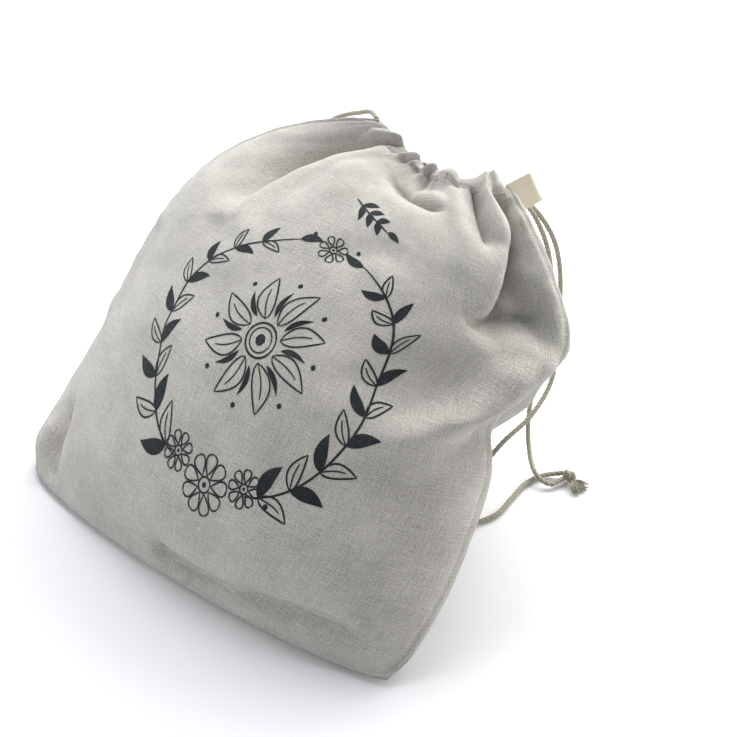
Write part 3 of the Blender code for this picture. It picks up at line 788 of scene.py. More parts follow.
    def outer_grid(self, side: Side, columns: int, steps: int) -> Array:
        """The folded outer surface as a grid of points, row by row.

        Args:
            side: The half of the bag.
            columns: Quads across the cloth.
            steps: Quads up the cloth.

        Returns:
            Points in cm, one row for each height.
        """
        u, v = np.meshgrid(np.linspace(0.0, 1.0, columns + 1), np.linspace(0.0, 1.0, steps + 1))
        plain = np.stack([self.section(float(at), side, u[0]) for at in v[:, 0]])
        relief = self.height(side, u, v)
        hold = self.hold_at_seams(u)
        at_rim = np.clip((v - self.rim_from) / (1 - self.rim_from), 0, 1)
        turn = self.rim_turn * at_rim ** 2 * hold
        grid = plain + self.out_normals(plain, side) * (relief - turn)[..., None]
        shift = self.tuck_sum(side, u, v) * hold[..., None]
        scallop = self.rim_scallop * np.clip(relief, *self.scallop_range)
        scallop = scallop * hold - self.corner_drop * (1 - hold)
        near_rim = smooth_step((v - self.scallop_from) / (1 - self.scallop_from))
        shift[..., 1] += scallop * near_rim
        for axis, amount in ((1, shift[..., 0:1]), (0, shift[..., 1:2])):
            grid += amount * unit(np.gradient(plain, axis=axis))
        grid[..., 2] = np.maximum(grid[..., 2], 0.0)
        return grid


@dataclass
class BagCloth:
    """The two-sided cloth of the bag, with its rolled rim at the mouth.

    The inner skin has half the outer one's rows and columns.
    """

    form: ClothForm = field(default_factory=ClothForm)
    columns: int = 208
    steps: int = 168
    cloth: float = 0.11
    channel_cloth: float = 0.30
    channel_blend: float = 0.02
    side_join: int = 2
    bottom_join: int = 2
    rim_steps: int = 3
    rim_rows: int = 3
    grids: dict = field(default_factory=dict)
    normals: dict = field(default_factory=dict)

    def prepare(self) -> None:
        """Work out the outer grids, sewn together at the sides and bottom."""
        for side in Side:
            self.grids[side] = self.form.outer_grid(side, self.columns, self.steps)
        front, back = self.grids[Side.FRONT], self.grids[Side.BACK]
        for edge in (0, -1):
            front[:, edge] = back[:, edge] = (front[:, edge] + back[:, edge]) / 2
        front[0] = back[0] = (front[0] + back[0]) / 2
        for side in Side:
            self.normals[side] = ClothForm.out_normals(self.grids[side], side)
        front, back = self.normals[Side.FRONT], self.normals[Side.BACK]
        for edge in (0, -1):
            front[:, edge] = back[:, edge] = unit(front[:, edge] + back[:, edge])

    def at(self, side: Side, u: Array, v: Array, lift: float = 0.0) -> Array:
        """Points on the outer surface, raised by lift cm.

        Args:
            side: The half of the bag.
            u: Shares across the cloth.
            v: Shares up the cloth.
            lift: Height above the cloth, in cm.

        Returns:
            One point for each place.
        """
        x = np.clip(u, 0, 1) * self.columns
        y = np.clip(v, 0, 1) * self.steps
        i = np.minimum(y.astype(int), self.steps - 1)
        j = np.minimum(x.astype(int), self.columns - 1)
        s, t = (x - j)[..., None], (y - i)[..., None]
        grid = self.grids[side] + self.normals[side] * lift
        low = grid[i, j] * (1 - s) + grid[i, j + 1] * s
        high = grid[i + 1, j] * (1 - s) + grid[i + 1, j + 1] * s
        return low * (1 - t) + high * t

    def inner_grid(self, side: Side) -> Array:
        """The inner surface.

        Args:
            side: The half of the bag.

        Returns:
            Points in cm, on every second row and column.
        """
        u, v = np.meshgrid(np.linspace(0, 1, self.columns // 2 + 1),
                           np.linspace(0, 1, self.steps // 2 + 1))
        channel = smooth_step((v - self.form.channel_start) / self.channel_blend)
        thick = self.cloth + (self.channel_cloth - self.cloth) * channel
        i, j = (v * self.steps).astype(int), (u * self.columns).astype(int)
        grid = self.grids[side][i, j] - self.normals[side][i, j] * thick[..., None]
        grid[..., 2] = np.maximum(grid[..., 2], self.cloth)
        return grid

    def flat_places(self, grid: Array, side: Side) -> Array:
        """Where a grid's points lie on the flat strip, in metres.

        Args:
            grid: Points of one half of the bag.
            side: The half of the bag.

        Returns:
            A place for each point.
        """
        reach = self.form.strip_height * (1 if side is Side.FRONT else -1)
        rows, cols = grid.shape[:2]
        across, along = np.meshgrid(np.linspace(0, self.form.strip_width, cols),
                                    np.linspace(0, reach, rows))
        return np.stack((across, along), axis=-1) * CM

    def build(self, finish: Material) -> Object:
        """Mesh the outer skin, the rim and the inner skin as one piece.

        Args:
            finish: The linen.

        Returns:
            The cloth's object.
        """
        self.prepare()
        draft = Draft()
        linings = []
        for side in Side:
            skin, lining = self.grids[side], self.inner_grid(side)
            outer = draft.add(skin, self.flat_places(skin, side))
            draft.fill(outer, flip=side is Side.BACK)
            inner = draft.add(lining, self.flat_places(lining, side))
            draft.fill(inner[self.bottom_join:, self.side_join:-self.side_join],
                       flip=side is Side.FRONT)
            self.roll_rim(draft, side, outer[-1], inner[-1], lining[-1])
            linings.append(inner)
        self.join_lining(draft, *linings)
        made = draft.build("bag_cloth", finish)
        face_outward(made, weld=True)
        return made

    def join_lining(self, draft: Draft, front: Array, back: Array) -> None:
        """Close the lining along its sides, its bottom and its top corners.

        Args:
            draft: The mesh to add to.
            front: Point numbers of the front's inner skin.
            back: Point numbers of the back's inner skin.
        """
        top, cols = front.shape[0] - 1, front.shape[1]
        left, right, low = self.side_join, cols - 1 - self.side_join, self.bottom_join
        edge = [(i, left) for i in range(top, low, -1)]
        edge += [(low, j) for j in range(left, right + 1)]
        edge += [(i, right) for i in range(low + 1, top + 1)]
        corners = [[(top, j) for j in span] for span in (range(left + 1), range(right, cols))]
        for run in (edge, *corners):
            for a, b in zip(run, run[1:]):
                draft.faces.append((front[a], front[b], back[b], back[a]))

    def roll_rim(self, draft: Draft, side: Side, outer_ids: Array, inner_ids: Array,
                 inner: Array) -> None:
        """Roll the channel's top edge over from the outer to the inner skin.

        Args:
            draft: The cloth's mesh.
            side: The half of the bag.
            outer_ids: Point numbers of the outer skin's top row.
            inner_ids: Point numbers of the inner skin's top row.
            inner: Points of the inner skin's top row.
        """
        grid = self.grids[side]
        outer = grid[-1, ::2]
        up = unit(outer - grid[-1 - self.rim_rows, ::2])
        half = np.linalg.norm(outer - inner, axis=1, keepdims=True) / 2
        places = self.flat_places(grid, side)[-1, ::2]
        rows = []
        for k in range(1, self.rim_steps + 1):
            angle = math.pi * k / (self.rim_steps + 1)
            middle = (outer + inner) / 2 + (outer - inner) / 2 * math.cos(angle)
            rows.append(draft.add(middle + up * half * math.sin(angle), places))
        first = rows[0]
        for j in range(len(first) - 1):
            face = (*outer_ids[2 * j:2 * j + 3], first[j + 1], first[j])
            draft.faces.append(face if side is Side.FRONT else face[::-1])
        draft.fill(np.array((*rows, inner_ids)), flip=side is Side.BACK)


# ------------------------------------------------------------------- finishes
class Graph:
    """A short way to write shader node trees."""

    def __init__(self, tree: bpy.types.NodeTree) -> None:
        """Keep the tree that the nodes go into."""
        self.tree = tree

    def feed(self, node: bpy.types.Node, inputs: dict) -> None:
        """Link sockets to a node's inputs, or set them to constants.

        Args:
            node: The node to feed.
            inputs: A socket or a constant for each input's name or number.
        """
        for key, value in inputs.items():
            if isinstance(value, Socket):
                self.tree.links.new(value, node.inputs[key])
            else:
                node.inputs[key].default_value = value

    def node(self, kind: str, inputs: dict | None = None, **settings: object) -> bpy.types.Node:
        """Add a node, set its properties, then feed its inputs.

        Args:
            kind: The node's type.
            inputs: What feeds its inputs, as feed takes it.
            settings: Its own properties.

        Returns:
            The new node.
        """
        made = self.tree.nodes.new(kind)
        for key, value in settings.items():
            setattr(made, key, value)
        self.feed(made, inputs or {})
        return made

    def math(self, operation: str, *values: object) -> Socket:
        """A math node on sockets or numbers."""
        return self.node("ShaderNodeMath", dict(enumerate(values)), operation=operation).outputs[0]

    def add(self, first: object, second: object) -> Socket:
        """A sum."""
        return self.math("ADD", first, second)

    def times(self, first: object, second: object) -> Socket:
        """A product."""
        return self.math("MULTIPLY", first, second)

    def noise(self, vector: Socket, scale: Point, detail: float,
              rough: float = 0.5) -> Socket:
        """Noise of unit size on a stretched vector.

        Args:
            vector: Where to read the noise.
            scale: Stretch along each axis.
            detail: Number of finer layers.
            rough: Strength of the finer layers.

        Returns:
            The noise, from 0 to 1.
        """
        stretched = self.node("ShaderNodeVectorMath", {0: vector, 1: scale}, operation="MULTIPLY")
        made = self.node("ShaderNodeTexNoise", {"Vector": stretched.outputs[0], "Scale": 1.0,
                                                "Detail": detail, "Roughness": rough})
        return made.outputs[0]

    def remap(self, value: Socket, low: float, high: float, out_low: float = 0.0,
              out_high: float = 1.0) -> Socket:
        """A clamped linear remap."""
        made = self.node("ShaderNodeMapRange", {"Value": value, "From Min": low, "From Max": high,
                                                "To Min": out_low, "To Max": out_high})
        return made.outputs[0]

    def mix(self, factor: object, first: object, second: object) -> Socket:
        """Mix two colours."""
        return self.node("ShaderNodeMix", {0: factor, 6: first, 7: second},
                         data_type="RGBA").outputs[2]

    def shades(self, tone: object, colour: Point, contrast: float) -> Socket:
        """A colour that turns from darker to lighter as the tone rises."""
        dark, light = ((*(min(1.0, c * share) for c in colour), 1.0)
                       for share in (1 - contrast, 1 + contrast))
        return self.mix(tone, dark, light)


def new_group(name: str, vector: str, numbers: dict[str, float],
              outputs: tuple[str, ...]) -> tuple:
    """A node group with named sockets.

    Args:
        name: The group's name.
        vector: Name of its vector input.
        numbers: Names and defaults of its number inputs.
        outputs: Names of its number outputs.

    Returns:
        The group's graph, its input sockets and its output node.
    """
    group = bpy.data.node_groups.new(name, "ShaderNodeTree")
    group.interface.new_socket(vector, in_out="INPUT", socket_type="NodeSocketVector")
    for socket, default in numbers.items():
        made = group.interface.new_socket(socket, in_out="INPUT", socket_type="NodeSocketFloat")
        made.default_value = default
    for socket in outputs:
        group.interface.new_socket(socket, in_out="OUTPUT", socket_type="NodeSocketFloat")
    graph = Graph(group)
    return graph, graph.node("NodeGroupInput").outputs, graph.node("NodeGroupOutput")


def plain_weave_group() -> None:
    """Plain weave on cloth metres: relief, thread tone, slubs and flecks."""
    graph, source, sink = new_group("PlainWeave", "Cloth", {"Pitch": 0.0008, "Slub": 1.0},
                                    ("Height", "Tone", "Fleck"))
    cloth = source["Cloth"]
    wander = graph.math("SUBTRACT", graph.noise(cloth, (160, 160, 160), 2.0), 0.5)
    wander = graph.times(wander, 0.0009)
    split = graph.node("ShaderNodeSeparateXYZ", {0: cloth})
    waves = []
    for axis in (0, 1):
        thread = graph.math("DIVIDE", graph.add(split.outputs[axis], wander), source["Pitch"])
        waves.append(graph.math("SINE", graph.times(thread, math.pi)))
    over = graph.remap(graph.times(*waves), -0.5, 0.5)
    warp, weft = (graph.math("ABSOLUTE", wave) for wave in waves)
    weave = graph.add(graph.times(warp, over),
                      graph.times(weft, graph.math("SUBTRACT", 1.0, over)))
    slubs = graph.add(*(graph.remap(graph.noise(cloth, scale, 2.0, 0.6), 0.35, 0.75, -0.5, 0.5)
                        for scale in ((1300, 75, 1), (75, 1300, 1))))
    slubs = graph.times(slubs, source["Slub"])
    grain = graph.remap(graph.noise(cloth, (1150, 1150, 1), 2.0, 0.7), 0.3, 0.7, -0.5, 0.5)
    height = graph.add(graph.times(weave, 0.6), graph.times(slubs, 0.7))
    height = graph.add(height, graph.times(grain, 0.6))
    tone = graph.add(graph.times(slubs, 0.6), graph.times(grain, 1.5))
    tone = graph.add(tone, graph.times(weave, 0.3))
    fleck = graph.remap(graph.noise(cloth, (900, 420, 1), 3.0, 0.7), 0.60, 0.72)
    graph.feed(sink, {"Height": height, "Tone": tone, "Fleck": fleck})


def twist_fibre_group() -> None:
    """Fine fibres along a twisted yarn: relief and tone."""
    graph, source, sink = new_group("TwistFibre", "Yarn", {}, ("Height", "Tone"))
    fibre = graph.noise(source["Yarn"], (18, 900, 1), 3.0, 0.6)
    fuzz = graph.noise(source["Yarn"], (9, 90, 1), 2.0, 0.6)
    tone = graph.add(graph.times(fibre, 0.6), graph.times(fuzz, 0.5))
    graph.feed(sink, {"Height": fibre, "Tone": tone})


@dataclass(frozen=True)
class Finish:
    """What all cloth and yarn finishes share."""

    name: str
    colour: Point
    contrast: float
    relief: float
    bump: float
    roughness: float
    sheen: float

    def start(self, group: str) -> tuple:
        """A new material's graph, its texture place and a group that reads it.

        Args:
            group: Name of the node group.

        Returns:
            The material, its graph, the texture place and the group's node.
        """
        made = bpy.data.materials.new(self.name)
        made.use_nodes = True
        graph = Graph(made.node_tree)
        place = graph.node("ShaderNodeUVMap", uv_map="cloth").outputs[0]
        effect = graph.node("ShaderNodeGroup", node_tree=bpy.data.node_groups[group])
        graph.feed(effect, {0: place})
        return made, graph, place, effect

    def shade(self, graph: Graph, base: Socket, height: Socket,
              constants: dict[str, float]) -> None:
        """Feed the shader its colour, its bump and its constants.

        Args:
            graph: The material's graph.
            base: The colour.
            height: The relief of the surface.
            constants: Other inputs of the shader.
        """
        bump = graph.node("ShaderNodeBump", {"Height": height, "Distance": self.relief,
                                             "Strength": self.bump})
        graph.feed(graph.tree.nodes["Principled BSDF"], {
            "Base Color": base, "Normal": bump.outputs[0], "Roughness": self.roughness,
            "Sheen Weight": self.sheen, **constants})


@dataclass(frozen=True)
class WovenFinish(Finish):
    """Woven cloth: thread relief, slubs, flecks and a soft sheen."""

    fleck: Point = (0.26, 0.23, 0.19)
    pitch: float = 0.00085
    slub: float = 1.0
    contrast: float = 0.40
    relief: float = 0.00040
    bump: float = 0.9
    roughness: float = 0.92
    sheen: float = 0.25
    sheen_roughness: float = 0.6
    specular: float = 0.25
    ink: Point | None = None

    def material(self) -> Material:
        """Build the material.

        Returns:
            The new material.
        """
        made, graph, place, weave = self.start("PlainWeave")
        graph.feed(weave, {"Pitch": self.pitch, "Slub": self.slub})
        drift = graph.noise(place, (28, 28, 1), 3.0)
        tone = graph.add(weave.outputs["Tone"], graph.remap(drift, 0.3, 0.7, -0.25, 0.25))
        base = graph.shades(graph.remap(tone, -0.9, 1.1), self.colour, self.contrast)
        base = graph.mix(graph.times(weave.outputs["Fleck"], 0.5), base, (*self.fleck, 1.0))
        if self.ink is not None:
            cover = graph.add(weave.outputs["Height"], drift)
            cover = graph.remap(cover, 0.25, 0.55, 0.90, 1.0)
            base = graph.mix(cover, base, (*self.ink, 1.0))
        self.shade(graph, base, weave.outputs["Height"], {
            "Sheen Roughness": self.sheen_roughness, "Specular IOR Level": self.specular})
        return made


@dataclass(frozen=True)
class YarnFinish(Finish):
    """Twisted yarn: fibres along each ply."""

    contrast: float = 0.18
    relief: float = 0.00025
    bump: float = 0.8
    roughness: float = 0.9
    sheen: float = 0.3

    def material(self) -> Material:
        """Build the material.

        Returns:
            The new material.
        """
        made, graph, _, fibre = self.start("TwistFibre")
        tone = graph.remap(fibre.outputs["Tone"], 0.3, 0.8)
        base = graph.shades(tone, self.colour, self.contrast)
        self.shade(graph, base, fibre.outputs["Height"], {})
        return made


FLAX = (0.51, 0.489, 0.448)
LINEN = WovenFinish("linen", FLAX)
INK = WovenFinish("print_ink", FLAX, sheen=0.05, roughness=0.8, ink=(0.006, 0.012, 0.015))
TAPE = WovenFinish("label_cotton", (0.80, 0.72, 0.57), fleck=(0.70, 0.58, 0.38), pitch=0.0004,
                   slub=0.4, contrast=0.05, relief=0.00010, sheen=0.15)
THREAD = YarnFinish("seam_thread", (0.52, 0.48, 0.42))
CORD = YarnFinish("cord_cotton", (0.31, 0.292, 0.224))


# ---------------------------------------------------------------- the print
@dataclass
class PrintArt:
    """A generic line print: a wreath of leafy sprigs around a rosette.

    Lengths are cm on the front panel, measured from the print's middle.  A
    sprig is its first and last angle in degrees, and a daisy is its centre,
    its radius, its petals and its turn.  A leaf's size is its length and its
    width.
    """

    cloth: BagCloth
    u_middle: float = 0.525
    v_middle: float = 0.405
    scale_u: float = 34.0
    scale_v: float = 33.0
    line: float = 0.115
    lift: float = 0.018
    step: float = 0.13
    taper_from: float = 0.55
    taper_share: float = 0.12
    leaf_bend: float = 0.10
    leaf_powers: tuple[float, float] = (0.8, 0.9)
    leaf_point: float = 0.02
    dot_point: float = 0.01
    wreath: float = 7.5
    sprigs: tuple = ((-70, 72), (-110, -252))
    sprig_points: int = 60
    sprig_leaves: int = 9
    sprig_wobble: tuple[float, float] = (0.018, 5)
    sprig_leaf: tuple[float, float] = (2.15, 0.82)
    sprig_end_leaf: tuple[float, float] = (1.6, 0.6)
    sprig_margin: int = 3
    sprig_shrink: float = 0.35
    leaf_lean: float = 0.75
    daisies: tuple = (((0.0, -7.5), 1.55, 9, 0.2), ((-2.5, -6.7), 1.0, 8, 0.5),
                      ((2.5, -6.7), 1.0, 8, 0.1), ((0.0, 7.4), 0.95, 7, 0.4))
    spots: tuple = ((-1.6, 7.9), (1.6, 7.9), (-4.1, -7.0), (4.1, -7.0))
    spot_radius: float = 0.17
    rosette_middle: tuple[float, float] = (0.0, 0.6)
    top_sprig: tuple[float, float] = (1.4, 10.9)
    top_tilt: float = -24.0
    draft: Draft = field(default_factory=Draft)

    def ribbon(self, path: Array, widths: Array, lanes: int = 2) -> None:
        """Lay a band of varying width along a path on the cloth.

        Args:
            path: The band's middle line.
            widths: Its width at each point of the path.
            lanes: Quads across it.
        """
        run = run_along(path)
        at = np.linspace(0.0, run[-1], max(3, int(run[-1] / self.step)) + 1)
        spine = read_line(path, run, at)
        along = unit(np.gradient(spine, axis=0))
        across = np.stack((-along[:, 1], along[:, 0]), axis=1)
        off = np.linspace(-0.5, 0.5, lanes + 1) * np.interp(at, run, widths)[:, None]
        flat = spine[:, None] + across[:, None] * off[..., None]
        u = self.u_middle + flat[..., 0] / self.scale_u
        v = self.v_middle + flat[..., 1] / self.scale_v
        form = self.cloth.form
        places = np.stack((u * form.strip_width, v * form.strip_height), axis=-1) * CM
        ids = self.draft.add(self.cloth.at(Side.FRONT, u, v, self.lift), places)
        self.draft.fill(ids.T)

    def stroke(self, path: Array, weight: float = 1.0) -> None:
        """A pen line, a little thinner at its ends.

        Args:
            path: The line's points.
            weight: Its width as a share of the pen's.
        """
        share = np.linspace(0, 1, len(path))
        inward = np.clip(np.minimum(share, 1 - share) / self.taper_share, 0, 1)
        taper = self.taper_from + (1 - self.taper_from) * inward
        self.ribbon(path, self.line * weight * taper)

    def leaf(self, base: Array, angle: float, length: float, width: float, solid: bool) -> None:
        """A leaf, either solid with a point or drawn with its midrib.

        Args:
            base: Where it leaves the stem.
            angle: Its direction, in radians.
            length: From base to tip.
            width: Across its belly.
            solid: Whether it is filled in.
        """
        t = np.linspace(0, 1, 15)
        axis, side = axes_at(angle)
        bend = self.leaf_bend * length * np.sin(math.pi * t)
        spine = base + axis * (t * length)[:, None] + side * bend[:, None]
        low_power, power = self.leaf_powers
        belly = width * np.sin(math.pi * t ** low_power) ** power
        if solid:
            self.ribbon(spine, np.maximum(belly, self.leaf_point), lanes=4)
            return
        for hand in (0.5, -0.5):
            self.stroke(spine + side * (belly * hand)[:, None], 0.9)
        self.stroke(spine[:11], 0.7)

    def ring(self, centre: Array, radius: float, weight: float = 1.0) -> None:
        """A circle."""
        turn = np.linspace(0, 2 * math.pi, 40)
        self.stroke(centre + radius * np.stack((np.cos(turn), np.sin(turn)), axis=1), weight)

    def dot(self, centre: Array, radius: float) -> None:
        """A solid round spot.

        Args:
            centre: Its middle.
            radius: Its radius.
        """
        t = np.linspace(-1, 1, 9)
        spine = centre + np.stack((t * radius, 0 * t), axis=1)
        width = 2 * radius * np.sqrt(1 - t * t)
        self.ribbon(spine, np.maximum(width, self.dot_point), lanes=4)

    def daisy(self, centre: Array, radius: float, petals: int, turn: float) -> None:
        """An open flower of drawn petals.

        Args:
            centre: Its middle.
            radius: Reach of the petals.
            petals: Number of petals.
            turn: Angle of the first petal, in radians.
        """
        self.ring(centre, radius * 0.26, 0.9)
        self.dot(centre, radius * 0.10)
        t = np.linspace(0, math.pi, 17)
        out = radius * (0.30 + 0.70 * np.sin(t / 2))
        fan = radius * 0.24 * np.sin(t)
        for k in range(petals):
            axis, side = axes_at(turn + 2 * math.pi * k / petals)
            for hand in (1, -1):
                self.stroke(centre + axis * out[:, None] + side * (fan * hand)[:, None], 0.85)

    def sprig(self, start: float, end: float) -> None:
        """A leafy stem along an arc of the wreath, angles in degrees.

        Args:
            start: Angle of the stem's root.
            end: Angle of its tip.
        """
        turn = np.radians(np.linspace(start, end, self.sprig_points))
        swing, turns = self.sprig_wobble
        reach = self.wreath * (1 + swing * np.sin(turns * turn))
        stem = np.stack((np.cos(turn), np.sin(turn)), axis=1) * reach[:, None]
        self.stroke(stem, 1.1)
        along = turn + math.copysign(math.pi / 2, end - start)
        margin, leaves = self.sprig_margin, self.sprig_leaves
        length, width = self.sprig_leaf
        for k in range(leaves):
            at = int(margin + k * (self.sprig_points - 2 * margin) / leaves)
            size = 1.0 - self.sprig_shrink * k / leaves
            for lean, solid in ((self.leaf_lean, k % 2 == 0), (-self.leaf_lean, k % 2 == 1)):
                self.leaf(stem[at], along[at] + lean, length * size, width * size, solid)
        self.leaf(stem[-1], along[-1], *self.sprig_end_leaf, True)

    def rosette(self, middle: Array) -> None:
        """The large flower inside the wreath.

        Args:
            middle: Its middle.
        """
        self.ring(middle, 1.0, 1.1)
        self.ring(middle, 0.72, 0.8)
        self.dot(middle, 0.34)
        for k in range(8):
            angle = math.pi * k / 4 + math.pi / 8
            self.leaf(middle + axes_at(angle)[0] * 1.25, angle, 2.7, 1.15, False)
            between = angle + math.pi / 8
            axis, _ = axes_at(between)
            self.leaf(middle + axis * 1.5, between, 1.7, 0.34, True)
            self.dot(middle + axis * 3.75, 0.16)

    def small_sprig(self, centre: Array, tilt: float) -> None:
        """A short stem with paired leaves above the wreath.

        Args:
            centre: Middle of the stem.
            tilt: Its direction, in radians.
        """
        axis, _ = axes_at(tilt)
        stem = centre + axis * np.linspace(-2.2, 1.9, 12)[:, None]
        self.stroke(stem, 1.2)
        for k, at in enumerate((-1.3, -0.3, 0.7)):
            for lean in (0.8, -0.8):
                self.leaf(centre + axis * at, tilt + lean, 1.35 - 0.15 * k, 0.55, True)
        self.leaf(stem[-1], tilt, 1.1, 0.5, True)

    def build(self, finish: Material) -> Object:
        """Draw the whole print and mesh it just above the cloth.

        Args:
            finish: The piece's material.

        Returns:
            The print's object.
        """
        for start, end in self.sprigs:
            self.sprig(start, end)
        self.rosette(np.array(self.rosette_middle))
        for centre, radius, petals, turn in self.daisies:
            self.daisy(np.array(centre), radius, petals, turn)
        for centre in self.spots:
            self.dot(np.array(centre), self.spot_radius)
        self.small_sprig(np.array(self.top_sprig), math.radians(self.top_tilt))
        return self.draft.build("front_print", finish)


# ------------------------------------------------------------------ sewing
@dataclass
class Stitching:
    """A row of small stitches along the channel on both sides."""

    cloth: BagCloth
    pitch: float = 0.42
    stitch_share: float = 0.68
    thread: float = 0.045
    sides: int = 6
    line_v: float = 0.957
    u_from: float = 0.03

    def stitch(self, draft: Draft, start: Array, end: Array, out: Array) -> None:
        """One stitch: a short lozenge of thread.

        Args:
            draft: The mesh to add to.
            start: Where the thread comes up.
            end: Where it goes down.
            out: Direction out of the cloth, about 1 cm long.
        """
        along = end - start
        across = unit(np.cross(along, out))
        turn = 2 * math.pi * np.arange(self.sides)[:, None] / self.sides
        ring = (across * np.cos(turn) + out * (np.sin(turn) + 0.5)) * self.thread
        points = np.vstack((start, *(start + along * share + ring for share in (0.25, 0.75)), end))
        ids = draft.add(points, points[:, :2] * CM)
        low, high = ids[1:-1].reshape(2, self.sides)
        for k in range(self.sides):
            a, b, c, d = low[k], low[k - 1], high[k - 1], high[k]
            draft.faces += [(ids[0], a, b), (b, a, d, c), (c, d, ids[-1])]

    def build(self, finish: Material) -> Object:
        """Stitch the channel on both sides.

        Args:
            finish: The piece's material.

        Returns:
            The stitches' object.
        """
        draft = Draft()
        step = self.pitch / self.cloth.form.strip_width
        u = np.arange(self.u_from, 1 - self.u_from, step)
        v = np.full(u.shape, self.line_v)
        for side in Side:
            points = self.cloth.at(side, u, v)
            out = self.cloth.at(side, u, v, 1.0) - points
            ends = points[:-1] + np.diff(points, axis=0) * self.stitch_share
            for k, end in enumerate(ends):
                self.stitch(draft, points[k], end, out[k])
        return draft.build("stitching", finish)


# ------------------------------------------------------------------- cords
@dataclass
class TwistedCord:
    """A cord of plies twisted around its centreline, lengths in cm.

    A ply's offset and radius are shares of the cord's diameter.
    """

    diameter: float = 0.34
    plies: int = 3
    lay_length: float = 1.05
    sides: int = 8
    spacing: float = 0.075
    ply_offset: float = 0.20
    ply_radius: float = 0.295

    @staticmethod
    def frames(line: Array) -> tuple[Array, Array]:
        """Two steady directions across a line, without twist.

        Args:
            line: The line's points.

        Returns:
            Two unit vectors at each point, square to the line.
        """
        along = unit(np.gradient(line, axis=0))
        first = np.cross(along[0], (0.0, 0.0, 1.0))
        if np.linalg.norm(first) < 0.1:
            first = np.cross(along[0], (1.0, 0.0, 0.0))
        across = [unit(first)]
        for way in along[1:]:
            across.append(unit(across[-1] - way * (across[-1] @ way)))
        across = np.array(across)
        return across, np.cross(along, across)

    def add_tube(self, draft: Draft, line: Array, radius: Array) -> None:
        """A round tube along a line, closed at both ends.

        Args:
            draft: The mesh to add to.
            line: The tube's centreline.
            radius: Its radius at each point.
        """
        across, other = self.frames(line)
        share, run = np.meshgrid(np.arange(self.sides) / self.sides, run_along(line))
        turn = 2 * math.pi * share[..., None]
        ring = across[:, None] * np.cos(turn) + other[:, None] * np.sin(turn)
        points = line[:, None] + ring * radius[:, None, None]
        ids = draft.add(points, np.stack((run, share), axis=-1) * CM)
        draft.fill(np.concatenate((ids, ids[:, :1]), axis=1))
        draft.faces += [ids[0, ::-1], ids[-1]]

    def add_plies(self, draft: Draft, line: Array, taper: float = 1.0) -> None:
        """The plies of one run, narrowing to taper at its end.

        Args:
            draft: The mesh to add to.
            line: The cord's centreline.
            taper: Size at the far end, as a share of the first.
        """
        across, other = self.frames(line)
        run = run_along(line)
        size = self.diameter * (1 + (taper - 1) * smooth_step(run / run[-1]))
        for ply in range(self.plies):
            turn = 2 * math.pi * (run / self.lay_length + ply / self.plies)[:, None]
            swing = across * np.cos(turn) + other * np.sin(turn)
            helix = line + swing * (self.ply_offset * size)[:, None]
            self.add_tube(draft, helix, self.ply_radius * size)


